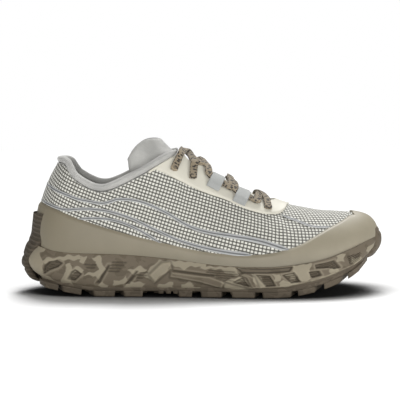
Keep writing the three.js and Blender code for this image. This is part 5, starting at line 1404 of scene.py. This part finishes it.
def strip_on(form, side, pairs, width, growth):
    """A narrow strip along a line on the upper."""
    xs = np.array([pair[0] for pair in pairs])
    share = np.linspace(xs[0], xs[-1], STRIP_COUNT)
    t, v = form.place_up(side, share, along(pairs, share))
    centre, normal = form.point(side, t, v), form.normal(side, t, v)
    across = unit(np.cross(normal, unit(np.gradient(centre, axis=0))))
    reach, narrow = STRIP_ENDS
    ends = narrow + (1 - narrow) * step_up(np.minimum(share - xs[0], xs[-1] - share), 0, reach)
    half = 0.5 * (width + growth * step_up(share, *FLOW_GROWTH)) * ends
    places, proud = np.array(STRIP_PLACES), np.array(STRIP_PROUD)
    flat = centre[:, None, :] + across[:, None, :] * (places[None, :] * half[:, None])[..., None]
    outer = flat + normal[:, None, :] * (STRIP_LIFT + form.s.film * proud)[None, :, None]
    inner = flat - normal[:, None, :] * form.s.film
    return shell("strip", [(outer, inner)], [pair_grid(run_along(centre), 0.5 + 0.5 * places)])


def make_flow_lines():
    form, _, materials = last()
    parts = [strip_on(form, side, pairs, *sizes) for side, _ in SIDES for pairs, sizes in FLOW_LINES]
    finish_piece(join("flow_lines", parts), materials.get("film"), "webbing")


def film_sheet(form, side, edges, thickness, rows, thin_at):
    """Outer and inner grids of a film between two edges of the upper, and its coordinates."""
    stations, low, high = edges
    t, v = side_grid(stations, low, high, rows)
    climb = form.point(side, stations, high) - form.point(side, stations, low)
    size = np.linalg.norm(climb, axis=-1)[:, None]
    from_low = np.linspace(0, 1, rows)[None, :] * size
    thin = thin_at(t, from_low, size - from_low)
    lift = FILM_EDGE * form.s.gap + ((1 - FILM_EDGE) * form.s.gap + thickness) * thin
    outer, inner = form.lifted(side, t, v, lift), form.lifted(side, t, v, FILM_UNDER * form.s.gap)
    return (outer, inner), np.stack([t, v], axis=-1)


def make_rand():
    form, s, materials = last()
    count, rows = RAND_GRID
    before, more = CLOSING_ROWS
    closing = np.linspace(RAND_CLOSING - before, form.crossing, more)
    stations = np.unique(np.concatenate([np.linspace(0, LAST_ROW, count), closing]))

    def thin_at(t, _, from_top):
        return np.maximum(step_up(t, RAND_CLOSING - RAND_FADE, RAND_CLOSING), step_up(from_top, *RAND_THIN))

    sheets = []
    for side, _ in SIDES:
        low = form.edge_by_height(side, stations, RIM_SEARCH, lambda x: form.rim_top(x) - RAND_TUCK)
        high = form.rand_top(side, stations)
        ahead = stations > FOREFOOT_ROW
        high[ahead] = np.maximum.accumulate(high[ahead])
        sheets.append(film_sheet(form, side, (stations, low, high), s.rand, rows, thin_at))
    finish_piece(shell("rand_film", *zip(*sheets)), materials.get("rand"), "rand", "rand")


def make_eyestay():
    form, s, materials = last()
    count, rows = EYESTAY_GRID
    stations = np.linspace(form.eyestay_from, form.eyestay_to, count)

    def thin_at(t, from_low, from_top):
        top = np.where(t < THROAT_ROW, step_up(from_top, *EYESTAY_OPEN), 1.0)
        return step_up(from_low, *EYESTAY_THIN) * top

    sheets = []
    for side, _ in SIDES:
        edges = (stations, form.eyestay_low(side, stations), form.top_edge(side, stations))
        sheets.append(film_sheet(form, side, edges, s.eyestay, rows, thin_at))
    finish_piece(shell("eyestay_film", *zip(*sheets)), materials.get("eyestay"), "eyestay", "eyestay")


def make_collar():
    form, s, materials = last()
    count, around = COLLAR_GRID
    t = np.linspace(COLLAR_STOP, 0, count)
    points = np.concatenate([form.point(-1, t, 1.0), form.point(1, t[::-1], 1.0)[1:]])
    lateral, medial = form.normal(-1, t, COLLAR_NORMAL), form.normal(1, t[::-1], COLLAR_NORMAL)
    normals = np.concatenate([lateral, medial[1:]])
    tangent = unit(np.gradient(points, axis=0))
    out = unit(normals - tangent * (normals * tangent).sum(axis=-1, keepdims=True))
    up = np.cross(tangent, out)
    up *= np.sign(up[:, 2:3])
    angle = np.linspace(0, 2 * math.pi, around, endpoint=False)
    plain, square = ROLL_FORM
    wide = s.binding * (plain + square * np.cos(2 * angle) ** 2)
    run = np.linspace(0, 1, len(points))
    breath = 1 + sum(high * np.sin(run * 2 * math.pi * waves + shift) for high, waves, shift in ROLL_WAVES)
    narrow, reach = ROLL_ENDS
    taper = narrow + (1 - narrow) * step_up(np.minimum(run, 1 - run), 0, reach)
    across = np.cos(angle)[None, :, None] * out[:, None, :] + np.sin(angle)[None, :, None] * up[:, None, :]
    reach = wide[None, :] * (breath * taper)[:, None]
    roll = tube("collar_roll", points[:, None, :] + across * reach[..., None])
    finish_piece(roll, materials.get("knit"), "lining", "collar_binding")


def arch_above(form, side, t, v):
    """How far the ridge's form stands over the straight line between the throat's edges at one place."""
    here = np.array([float(t)])
    edge = form.top_edge(side, here)
    rise = float((form.point(side, here, np.ones(1)) - form.point(side, here, edge))[0, 2])
    return rise * max(0.0, 1 - ((1 - float(v)) / max(ARCH_LEAST, 1 - float(edge[0]))) ** 2)


def make_tongue():
    form, s, materials = last()
    count, across = TONGUE_GRID
    share = np.linspace(-1, 1, across)
    rows = []
    for station, half, _, under in TONGUE_UNDER:
        row = []
        for one in share:
            side = -1 if one < 0 else 1
            v = form.v_below_ridge(side, station, abs(one) * half)
            spot = form.lifted(side, np.array([station]), v, -s.wall - under * s.tongue_gap)[0]
            row.append(spot - np.array([0, 0, s.throat_drop * arch_above(form, side, station, v[0])]))
        rows.append(row)
    middle = float(form.ridge_y(np.array([RIDGE_ROW]))[0])
    turn = share * math.pi / 2
    for x, z, half, back, fall, _ in TONGUE_FREE:
        px = (x - back * (1 - np.cos(turn))) * s.length
        py = middle + half * s.width * np.sin(turn)
        pz = s.rise * (z - fall * np.abs(share) ** TONGUE_FALL)
        rows.append(np.stack([px, py, pz], axis=-1))
    u = np.linspace(0, 1, count)
    outer = smooth_path(np.array(rows), u)
    pads = [row[2] for row in TONGUE_UNDER] + [row[-1] for row in TONGUE_FREE]
    pad = s.tongue * smooth_path(np.array(pads), u)[:, None]
    inward = unit(np.cross(np.gradient(outer, axis=0), np.gradient(outer, axis=1)))
    edge = 1 - np.abs(share)
    sides = np.sqrt(np.clip(edge / TONGUE_SIDE, 0, 1))[None, :]
    tip = np.sqrt(np.clip((1 - u) / TONGUE_TIP, 0, 1))[:, None]
    full = 0.5 * pad * (TONGUE_THIN + (1 - TONGUE_THIN) * np.minimum(sides, tip))
    quilt = QUILT_DEPTH * np.cos(u * QUILT_COUNT * 2 * math.pi)[:, None] * step_up(edge, *QUILT_SIDE)[None, :]
    centre = outer + inward * (0.5 * pad)[..., None]
    front = centre - inward * (full + quilt)[..., None]
    rear = centre + inward * full[..., None]
    tongue = shell("tongue_pad", [(front, rear)], [pair_grid(u, share)])
    finish_piece(tongue, materials.get("knit"), "lining", "tongue")


def ring_stack(name, rings, tones=None):
    """A closed body through rings, lowest first, each from the heel up the lateral side and back."""
    rings = np.asarray(rings)
    count, n = rings.shape[:2]
    faces = grid_faces(count, n, ring=True)
    top = (count - 1) * n
    for i in range(n // 2):
        j = (n - i) % n
        faces.append((top + i, top + i + 1, top + n - i - 1, top + j))
        faces.append((j, n - i - 1, i + 1, i))
    return make_object(name, rings, faces, tones=tones)


def make_insole():
    form, s, materials = last()
    at = np.linspace(0, 2 * LAST_ROW, INSOLE_COUNT, endpoint=False)
    out_x, out_y = form.outward(form.rings["foot_x"], form.rings["foot_y"], at)
    base_x = round_ring(form.rings["foot_x"], at) * s.length
    base_y = round_ring(form.rings["foot_y"], at) * s.width
    rings = []
    for inset, lift in INSOLE_RINGS:
        grow = -(s.wall + s.gap) - inset
        x, y = base_x + out_x * grow, base_y + out_y * grow
        rings.append(np.stack([x, y, form.footbed(x) + lift * s.insole], axis=-1))
    pad = ring_stack("insole_pad", rings)
    finish_piece(pad, materials.get("knit"), "lining", "insole")


def polygon_distance(px, py, corners):
    """Signed distance from points to a polygon's edge, positive inside."""
    corners = np.asarray(corners)
    nearest = np.full(px.shape, np.inf)
    inside = np.zeros(px.shape, dtype=bool)
    for a, b in zip(corners, np.roll(corners, -1, axis=0)):
        edge = b - a
        share = np.clip(((px - a[0]) * edge[0] + (py - a[1]) * edge[1]) / (edge @ edge), 0, 1)
        nearest = np.minimum(nearest, np.hypot(px - a[0] - share * edge[0], py - a[1] - share * edge[1]))
        crosses = (a[1] > py) != (b[1] > py)
        with np.errstate(divide="ignore", invalid="ignore"):
            inside ^= crosses & (px < (py - a[1]) / (b[1] - a[1]) * edge[0] + a[0])
    return np.where(inside, nearest, -nearest)


def line_beside(inside, place, width, strength):
    """A soft line that runs at one distance inside an outline."""
    return strength * np.exp(-(((inside - place) / width) ** 2))


def wall_relief(form, x, up):
    """The midsole wall's relief at points of it, and the tones of WALL_TONES there: painted shade, painted
    highlights, the tread's rubber and the pale patches.
    """
    s = form.s
    share, z = x / s.length, up * WALL_HEIGHT
    # Besides the relief's shape, two tones: painted shade in hollows, grooves, windows, between ribs and
    # below raised forms, and painted highlights along their edges.
    shape, painted_shade, edge = np.zeros_like(x), np.zeros_like(x), np.zeros_like(x)

    def inside_of(corners, px=x, py=z):
        return polygon_distance(px, py, [(a * s.length, b * WALL_HEIGHT) for a, b in corners])

    for corners in RAISED:
        inside = inside_of(corners)
        shape = np.maximum(shape, s.rib_height * step_up(inside, *RAISED_EDGE))
        edge = np.maximum(edge, line_beside(inside, *RAISED_HIGHLIGHT))
        painted_shade = np.maximum(painted_shade, line_beside(inside, *RAISED_SHADE))
    pitch, proud, shade, swing = WALL_RIBS
    ribs = np.sin(z / pitch * 2 * math.pi)
    for corners in RIBBED:
        mask = step_up(inside_of(corners), *RIBBED_EDGE)
        shape += mask * (proud * ribs - RIBBED_SUNK)
        painted_shade = np.maximum(painted_shade, mask * (shade - swing * ribs))
    for corners in GROOVES:
        inside = inside_of(corners)
        mask = step_up(inside, *GROOVE_EDGE)
        shape -= s.groove_depth * mask
        painted_shade = np.maximum(painted_shade, mask * np.where(inside > GROOVE_FLOOR, *GROOVE_SHADES))
        edge = np.maximum(edge, line_beside(inside, *GROOVE_HIGHLIGHT))
    pitch, proud, shade, swing = WINDOW_RIBS
    for corners in WINDOWS:
        inside = inside_of(corners)
        mask = step_up(inside, *WINDOW_EDGE)
        ribs = np.sin(z / pitch * 2 * math.pi) * step_up(inside, *WINDOW_FLOOR)
        shape += proud * ribs - s.window_depth * mask
        painted_shade = np.maximum(painted_shade, mask * (shade - swing * ribs) + line_beside(inside, *WINDOW_SHADE))
        edge = np.maximum(edge, line_beside(inside, *WINDOW_HIGHLIGHT))
    climb = (up - along(TREAD_EDGE, share)) * WALL_HEIGHT
    tread = step_up(-climb, *TREAD_STEP)
    shape += line_beside(climb, *TREAD_LIP) - TREAD_SUNK * tread
    edge = np.maximum(edge, line_beside(climb, *TREAD_HIGHLIGHT) * step_up(share, *TREAD_HIGHLIGHT_FROM))
    (high_x, long_x), (high_z, long_z) = PATCH_WAVES
    wave_x, wave_z = x + high_x * np.sin(z / long_x), z + high_z * np.sin(x / long_z)
    light = np.max([inside_of(corners, wave_x, wave_z) for corners in LIGHT_PATCHES], axis=0)
    edge = np.clip(edge, 0, 1) * (1 - painted_shade)
    return shape, np.clip(painted_shade, 0, 1), edge, tread, step_up(light, *LIGHT_EDGE)


def nearest_on(curve, points):
    """For each point the nearest one of a curve, seen from above."""
    distance = np.hypot(points[:, None, 0] - curve[None, :, 0], points[:, None, 1] - curve[None, :, 1])
    return curve[np.argmin(distance, axis=1)]


def make_midsole():
    form, s, materials = last()
    at = np.linspace(0, 2 * SOLE_END, WALL_COUNT, endpoint=False)
    low = round_ring(form.sole["low"], at) * s.width
    high = round_ring(form.sole["high"], at) * s.width
    rings, tones = [], []
    for up in np.linspace(0, 1, WALL_LEVELS):

        def height(x):
            return form.midsole_bottom(x) * (1 - up) + form.rim_top(x) * up

        inset = low * along(WALL_LOW, up) + high * along(WALL_HIGH, up)
        plain = form.sole_ring(at, 0, inset, height)
        fade = step_up(up, 0.0, WALL_FADE) * step_up(1 - up, 0.0, WALL_FADE)
        relief, *tone = wall_relief(form, plain[:, 0], np.full(WALL_COUNT, up))
        rings.append(form.sole_ring(at, relief * fade, inset, height))
        tones.append(tone)
    dense = np.linspace(0, LAST_ROW, SKIN_COUNT)
    skin, foot = [], []
    for side, _ in SIDES:
        v = form.edge_by_height(side, dense, RIM_SEARCH, form.rim_top)
        skin.append(form.lifted(side, dense, v, s.gap + RIM_STAND * s.rand))
        foot.append(form.lifted(side, dense, 0.0, s.gap))
    rim = rings[-1]
    inner, base = nearest_on(np.concatenate(skin), rim), nearest_on(np.concatenate(foot), rim)
    for share, lift in RIM_STEPS:
        step = rim * (1 - share) + inner * share
        step[:, 2] = rim[:, 2] + lift
        rings.append(step)
    inner[:, 2] = form.rim_top(inner[:, 0]) - RIM_DIP
    rings += [inner, base]
    tones += [[np.zeros(WALL_COUNT)] * len(WALL_TONES)] * (len(rings) - len(tones))
    sole = ring_stack("midsole_foam", rings, dict(zip(WALL_TONES, np.moveaxis(np.array(tones), 1, 0))))
    finish_piece(sole, materials.get("foam"), "foam", "midsole")


def make_sheet():
    form, s, materials = last()
    at = np.linspace(0, 2 * SOLE_END, RING_COUNT, endpoint=False)
    low = round_ring(form.sole["low"], at) * s.width
    rings = []
    for grow, on_foam, lift in SHEET_RINGS:
        start = form.midsole_bottom if on_foam else form.sheet_bottom
        grow = s.gap if grow is None else grow
        rings.append(form.sole_ring(at, grow, low, lambda x: start(x) + lift))
    finish_piece(ring_stack("tread_sheet", rings), materials.get("tread"), "tread_rubber", "outsole")


def lug(form, corners, deep=1.0):
    """A lug over a plan outline, drafted towards its foot, with soft edges."""
    corners = np.asarray(corners, dtype=float)
    outline = []
    for a, b in zip(corners, np.roll(corners, -1, axis=0)):
        parts = max(2, int(np.linalg.norm(b - a) / LUG_SPACING))
        outline += [a + (b - a) * k / parts for k in range(parts)]
    outline = np.array(outline)
    centre = outline.mean(axis=0)
    arm = outline - centre
    size = np.linalg.norm(arm, axis=-1, keepdims=True)
    rings = []
    for inset, lift in LUG_RINGS:
        flat = centre + arm * (1 - inset / size)
        root = form.sheet_bottom(flat[:, 0])
        low = root + (form.tread_lift(flat[:, 0]) - root) * deep
        rings.append(np.column_stack([flat, low + (root - low) * lift]))
    return tube("lug", np.array(rings))


def make_lugs():
    form, s, materials = last()

    def place(side, x, share):
        """A point at a share of the way from the sole's middle to its outline on one side."""
        lateral, medial = form.sole_wall(-1, x), form.sole_wall(1, x)
        wall = lateral if side < 0 else medial
        return x, float((lateral + medial) / 2 * (1 - share) + wall * share)

    inner, outer = EDGE_REACH
    near, far = NUB_REACH
    lugs = []
    for side, _ in SIDES:
        for start, stop, trail in EDGE_LUGS:
            a, b, lean = start * s.length, stop * s.length, trail * s.length
            ends = ((a, outer), (b, outer), (b - lean, inner), (a - lean, inner))
            lugs.append(lug(form, [place(side, *end) for end in ends]))
        for share in NUBS:
            a, b = share * s.length, share * s.length + s.lug_length / 2
            ends = ((a, far), (b, far), (b, near), (a, near))
            lugs.append(lug(form, [place(side, *end) for end in ends], NUB_DEPTH))
    for share in CENTRE_LUGS:
        x = share * s.length
        wing = s.sweep * (-1 if share < CHEVRON_TURN else 1)
        front, back = x + s.lug_length, x - wing
        _, middle = place(1, x, 0)
        (_, lateral), (_, medial) = (place(side, x, CENTRE_REACH) for side, _ in SIDES)
        lugs.append(lug(form, [
            (x, middle), (back, lateral), (back + s.lug_length, lateral),
            (front, middle), (back + s.lug_length, medial), (back, medial),
        ]))
    finish_piece(join("tread_lugs", lugs), materials.get("tread"), "tread_rubber", "outsole")


def wrap(name, form, rows, halves, height, middle, direction, ridges):
    """A tab of rubber whose outside follows the rows in side view and falls back towards its edges."""
    s = form.s
    count, across = WRAP_GRID
    x, z = smooth_path(np.array([(x * s.length, z * height) for z, x in rows]), np.linspace(0, 1, count)).T
    share = np.linspace(-1, 1, across)
    from_edge = 1 - np.abs(share)[None, :]
    half = along(halves, z / height) * s.wrap_width / 2
    y = share[None, :] * half[:, None]
    fall = (y / (s.wrap_width / 2)) ** 2 * s.wrap_rounding
    fall = fall + WRAP_EDGE * (1 - step_up(from_edge, 0, WRAP_EDGE_SHARE))
    for at, deep in ridges:
        bump = np.exp(-(((z / height - at) / RIDGE_SPREAD) ** 2))
        fall = fall - (deep * bump)[:, None] * step_up(from_edge, *RIDGE_ENDS)
    outer = np.stack(np.broadcast_arrays(x[:, None] - direction * fall, middle + y, z[:, None]), axis=-1)
    inner = outer - np.array([direction * WRAP_THICKNESS, 0, 0])
    return shell(name, [(outer, inner)], [pair_grid(z, share)])


def make_wraps():
    form, s, materials = last()
    heel_y, toe_y = (row[1] * s.width for row in (SOLE_ROWS[0], SOLE_ROWS[-1]))
    heel = wrap("heel_wrap", form, HEEL_WRAP, HEEL_HALF, s.heel_wrap, heel_y, -1, HEEL_RIDGES)
    toe = wrap("toe_wrap", form, TOE_WRAP, TOE_HALF, s.toe_wrap, toe_y, 1, TOE_RIDGES)
    finish_piece(heel, materials.get("wrap_rubber"), "tread_rubber", "outsole")
    finish_piece(toe, materials.get("tread"), "tread_rubber", "outsole")


def lace_run(stops):
    """A flat lace through stops, each with its middle, its normal, and its width and height."""
    points, normals, sizes = (np.array([stop[k] for stop in stops]) for k in range(3))
    u = np.linspace(0, 1, LACE_STEPS * len(stops))
    centre, normal, size = smooth_path(points, u), unit(smooth_path(normals, u)), smooth_path(sizes, u)
    tangent = unit(np.gradient(centre, axis=0))
    across = unit(np.cross(tangent, normal))
    up = np.cross(across, tangent)
    angle = np.linspace(0, 2 * math.pi, LACE_RING, endpoint=False)
    ring = 0
    for axis, turn, power, long in zip((across, up), (np.cos(angle), np.sin(angle)), LACE_FLAT, size.T):
        flat = np.sign(turn) * np.abs(turn) ** power
        ring = ring + axis[:, None, :] * (flat[None, :] * long[:, None] / 2)[..., None]
    return tube("lace", centre[:, None, :] + ring)


def lace_stop(form, side, t, v, over=0.0, narrow=1.0):
    """One stop of a lace, lying over a place on the upper."""
    s = form.s
    t, v = np.array([float(t)]), np.array([float(v)])
    point = form.lifted(side, t, v, s.lace_lift + s.lace / 2 + over)[0]
    return point, form.normal(side, t, v)[0], (s.lace_width * narrow, s.lace)


def eyelet_place(form, side, row):
    t, v = form.place_up(side, *row)
    return side, float(t[0]), float(v[0])


def eyelet_dive(form, place):
    """The stops with which a lace comes up out of its eyelet."""
    side, t, v = place
    return [lace_stop(form, side, t, v - down, *rest) for down, *rest in reversed(EYELET_DIVE)]


def throat_place(form, side, share):
    """The place on the throat's edge at an x."""
    t = float(form.station_at(side, share * form.s.length, 1.0))
    return side, t, float(form.top_edge(side, np.array([t]))[0])


def slip_under(form, place):
    """The stops with which a lace runs in under the throat's edge."""
    side, t, v = place
    deep = -form.s.lace_lift - form.s.wall - UNDER_DEPTH
    return [lace_stop(form, side, t, v - down, share * deep) for down, share in UNDER_STOPS]


def between(form, start, stop, over):
    """Stops of a length of lace across the ridge from one place to another."""
    first, last_place = start[0] * (1 - start[2]), stop[0] * (1 - stop[2])
    stops = []
    for k in range(LACE_STEPS + 1):
        u = k / LACE_STEPS
        w = first + (last_place - first) * u
        side = -1 if w < 0 else 1
        t = start[1] + (stop[1] - start[1]) * u
        v = 1 - abs(w)
        bridge = over * math.sin(math.pi * u) ** 2 - form.s.throat_drop * arch_above(form, side, t, v)
        stops.append(lace_stop(form, side, t, v, bridge))
    return stops


def top_run(form, side, over):
    """The crossing over the tongue, from a top eyelet to the second one across."""
    s = form.s
    climbs = []
    ends = ((side, TOP_EYELET, TOP_CROSSING["from_edge"]), (-side, SECOND_EYELET, TOP_CROSSING["to_edge"]))
    for way, row, edge_x in ends:
        place = eyelet_place(form, way, row)
        _, t, edge = throat_place(form, way, edge_x)
        stops = eyelet_dive(form, place)
        for u in (0, 0.5, 1):
            at_t, at_v = place[1] + (t - place[1]) * u, place[2] + (edge - place[2]) * u
            stops.append(lace_stop(form, way, at_t, at_v, u * s.edge_rise))
        climbs.append(stops)
    top = TOP_CROSSING["z"] * s.rise + over + s.lace / 2
    middle = (np.array([TOP_CROSSING["x"] * s.length, 0, top]), np.array([0, 0, 1.0]), (s.lace_width, s.lace))
    return climbs[0] + [middle] + climbs[1][::-1]


def make_lace():
    form, s, materials = last()
    half = (s.loop_width / 2 + s.lace_width / 2) / s.length
    mouths, hidden = {}, {}
    for side, _ in SIDES:
        for number, loop in enumerate(LOOPS):
            for way in (-1, 0, 1):
                mouths[side, number, way] = (side, *form.place_down(side, loop + way * half, LACE_LINE))
            hidden[side, number] = [lace_stop(form, *mouths[side, number, 0])]
    runs = []
    for side, _ in SIDES:
        over = s.lace if side < 0 else 0.0
        low = eyelet_place(form, side, LOW_EYELET)
        under = throat_place(form, -side, UNDER_EDGE)
        upper, lower = hidden[-side, 1], hidden[side, 0]
        runs += [
            eyelet_dive(form, low) + between(form, low, mouths[-side, 1, 1], over) + upper,
            upper + between(form, mouths[-side, 1, -1], mouths[side, 0, 1], over) + lower,
            lower + between(form, mouths[side, 0, -1], under, over) + slip_under(form, under),
            top_run(form, side, over),
        ]
    cord = join("lace_cord", [lace_run(stops) for stops in runs])
    finish_piece(cord, materials.get("woven"), "lace", "lace")


def make_loops():
    form, s, materials = last()
    count, wide = LOOP_GRID
    u, share = np.linspace(0, 1, count), np.linspace(-1, 1, wide)
    flat_to, thin = TAPE_EDGE
    edge = 1 - np.clip((np.abs(share) - flat_to) / (1 - flat_to), 0, 1) ** 2
    thick = (0.5 * s.tape * (thin + (1 - thin) * edge))[None, :, None]
    for side, word in SIDES:
        for number, loop in enumerate(LOOPS):
            centre, normal = [], []
            for down, lift in LOOP_PATH:
                t, v = form.place_down(side, loop + LOOP_LEAN * (down - LOOP_MIDDLE), down)
                t, v = np.array([t]), np.array([v])
                centre.append(form.lifted(side, t, v, lift)[0])
                normal.append(form.normal(side, t, v)[0])
            line = smooth_path(np.array(centre), u)
            across = unit(np.cross(np.gradient(np.array(centre), axis=0)[0], normal[0]))
            face = unit(np.cross(across, unit(np.gradient(line, axis=0))))[:, None, :]
            flat = line[:, None, :] + across[None, None, :] * (share * s.loop_width / 2)[None, :, None]
            sheet = (flat + face * thick, flat - face * thick)
            tape = shell(f"loop_tape_{word}_{number + 1}", [sheet], [pair_grid(run_along(line), share)])
            finish_piece(tape, materials.get("webbing"), "webbing", f"lace_loop_{word}_{number + 1}")


def repeat_along(name, lines, size, material):
    """Stitches repeated along lines of points by a node tree, then turned into one plain mesh."""
    spacing, length, radius = size
    levels, around = STITCH_GRID
    turn = np.linspace(0, 2 * math.pi, around, endpoint=False)
    sections = []
    for share in np.linspace(-1, 1, levels):
        fat = radius * math.sqrt(max(STITCH_LEAST, 1 - share**4))
        sections.append([(fat * math.cos(a), fat * math.sin(a), share * length / 2) for a in turn])
    stitch = tube("stitch", np.array(sections))
    edges, start = [], 0
    for line in lines:
        edges += [(start + k, start + k + 1) for k in range(len(line) - 1)]
        start += len(line)
    mesh = bpy.data.meshes.new(name)
    mesh.from_pydata(np.concatenate(lines).tolist(), edges, [])
    carrier = bpy.data.objects.new(name + "_carrier", mesh)
    bpy.context.scene.collection.objects.link(carrier)
    tree = bpy.data.node_groups.new(name, "GeometryNodeTree")
    for way in ("INPUT", "OUTPUT"):
        tree.interface.new_socket("Geometry", in_out=way, socket_type="NodeSocketGeometry")
    g = Graph(tree)
    source, sink = g.node("NodeGroupInput").outputs[0], g.node("NodeGroupOutput").inputs[0]
    curve = g.node("GeometryNodeMeshToCurve", {"Mesh": source}).outputs[0]
    even = g.node("GeometryNodeResampleCurve", {"Curve": curve, "Length": spacing}, mode="LENGTH").outputs[0]
    thread = g.node("GeometryNodeObjectInfo", {"Object": stitch}).outputs["Geometry"]
    tangent = g.node("GeometryNodeInputTangent").outputs[0]
    turned = g.node("FunctionNodeAlignRotationToVector", {"Vector": tangent}, axis="Z").outputs[0]
    placed = g.node("GeometryNodeInstanceOnPoints", {"Points": even, "Instance": thread, "Rotation": turned})
    real = g.node("GeometryNodeRealizeInstances", {"Geometry": placed.outputs[0]}).outputs[0]
    g.feed(sink, g.node("GeometryNodeSetMaterial", {"Geometry": real, "Material": material}).outputs[0])
    carrier.modifiers.new("repeat", "NODES").node_group = tree
    graph = bpy.context.evaluated_depsgraph_get()
    made = place_mesh(name, bpy.data.meshes.new_from_object(carrier.evaluated_get(graph), depsgraph=graph))
    bpy.data.objects.remove(carrier)
    bpy.data.objects.remove(stitch)
    return made


def make_stitches():
    form, s, materials = last()
    thread = materials.get("thread")
    seams, tacks = [], []
    for side, _ in SIDES:
        t = np.linspace(*SEAM_ROWS)
        v = form.top_edge(side, t) - SEAM_DOWN / form.top_length(side, t)
        seams.append(form.lifted(side, t, v, SEAM_LIFT))
        for loop in LOOPS:
            for down, lift in TACK_ROWS:
                line = []
                for shift in np.linspace(*TACK_SPAN):
                    t, v = form.place_down(side, loop - TACK_SHIFT + shift * s.loop_width / s.length, down)
                    line.append(form.lifted(side, np.array([t]), np.array([v]), lift)[0])
                tacks.append(np.array(line))
    finish_piece(repeat_along("collar_seam", seams, SEAM_STITCH, thread), thread, "lining")
    finish_piece(repeat_along("loop_tacks", tacks, TACK_STITCH, thread), thread, "webbing")


def make_stage():
    _, _, materials = last()
    scene = bpy.context.scene
    line = np.linspace(-FLOOR_SIZE / 2, FLOOR_SIZE / 2, FLOOR_COUNT)
    ground = np.concatenate([pair_grid(line, line), np.zeros((FLOOR_COUNT, FLOOR_COUNT, 1))], axis=-1)
    floor = make_object("floor", ground, grid_faces(FLOOR_COUNT, FLOOR_COUNT))
    floor.data.materials.append(materials.get("floor"))
    world = bpy.data.worlds.new("studio")
    world.use_nodes = True
    sky = Graph(world.node_tree)
    back = world.node_tree.nodes["Background"].inputs
    back["Color"].default_value = WHITE
    sky.feed(back["Strength"], sky.ramp(sky.node("ShaderNodeLightPath").outputs["Is Camera Ray"], "sky"))
    scene.world = world
    scene.view_settings.view_transform = "Standard"
    for name, kind, place, target, size, power in LAMPS:
        light = bpy.data.lights.new(name, kind)
        light.energy = power
        if kind == "SUN":
            light.angle = size
        else:
            light.shape = "RECTANGLE"
            light.size, light.size_y = size, LAMP_ASPECT * size
        lamp = bpy.data.objects.new(name, light)
        lamp.location = place
        lamp.rotation_euler = (Vector(target) - Vector(place)).to_track_quat("-Z", "Y").to_euler()
        scene.collection.objects.link(lamp)
    view = bpy.data.cameras.new("photo_view")
    view.sensor_width = SENSOR
    view.lens = CAMERA_LENS
    camera = bpy.data.objects.new("photo_view", view)
    camera.location = CAMERA_PLACE
    camera.rotation_euler = (math.pi / 2 - CAMERA_DOWN, 0.0, 0.0)
    scene.collection.objects.link(camera)
    scene.camera = camera


class SHOE_OT_upper(bpy.types.Operator):
    """Build the upper's cloth, its padded lining and its film overlays"""

    bl_idname = "shoe.upper"
    bl_label = "Upper"

    def execute(self, context):
        make_upper()
        make_lining()
        make_flow_lines()
        make_rand()
        make_eyestay()
        return {"FINISHED"}


class SHOE_OT_padding(bpy.types.Operator):
    """Build the collar's roll, the tongue and the insole"""

    bl_idname = "shoe.padding"
    bl_label = "Collar, tongue and insole"

    def execute(self, context):
        make_collar()
        make_tongue()
        make_insole()
        return {"FINISHED"}


class SHOE_OT_sole(bpy.types.Operator):
    """Build the mottled foam and the rubber tread"""

    bl_idname = "shoe.sole"
    bl_label = "Sole"

    def execute(self, context):
        make_midsole()
        make_sheet()
        make_lugs()
        make_wraps()
        return {"FINISHED"}


class SHOE_OT_lacing(bpy.types.Operator):
    """Build the lace, its webbing loops and the seams"""

    bl_idname = "shoe.lacing"
    bl_label = "Lacing and seams"

    def execute(self, context):
        make_lace()
        make_loops()
        make_stitches()
        return {"FINISHED"}


class SHOE_OT_stage(bpy.types.Operator):
    """Build the floor, the lights and the camera"""

    bl_idname = "shoe.stage"
    bl_label = "Stage"

    def execute(self, context):
        make_stage()
        return {"FINISHED"}


class SHOE_PT_panel(bpy.types.Panel):
    """The shoe's sizes, colours and build steps"""

    bl_label = "Trail running shoe"
    bl_idname = "SHOE_PT_panel"
    bl_space_type = "VIEW_3D"
    bl_region_type = "UI"
    bl_category = "Shoe"

    def draw(self, context):
        column = self.layout.column()
        for group_name in ("shoe_sizes", "shoe_colours"):
            holder = getattr(context.scene, group_name)
            for key in holder.__annotations__:
                column.prop(holder, key)
        for step in (SHOE_OT_upper, SHOE_OT_padding, SHOE_OT_sole, SHOE_OT_lacing, SHOE_OT_stage):
            column.operator(step.bl_idname)


CLASSES = (
    ShoeSizes, ShoeColours, SHOE_OT_upper, SHOE_OT_padding, SHOE_OT_sole, SHOE_OT_lacing, SHOE_OT_stage,
    SHOE_PT_panel,
)


def register():
    for item in CLASSES:
        bpy.utils.register_class(item)
    bpy.types.Scene.shoe_sizes = bpy.props.PointerProperty(type=ShoeSizes)
    bpy.types.Scene.shoe_colours = bpy.props.PointerProperty(type=ShoeColours)


def unregister():
    del bpy.types.Scene.shoe_colours
    del bpy.types.Scene.shoe_sizes
    for item in reversed(CLASSES):
        bpy.utils.unregister_class(item)


def main():
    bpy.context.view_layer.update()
    register()
    bpy.ops.shoe.stage()
    bpy.ops.shoe.upper()
    bpy.ops.shoe.padding()
    bpy.ops.shoe.sole()
    bpy.ops.shoe.lacing()


if __name__ == "__main__":
    main()
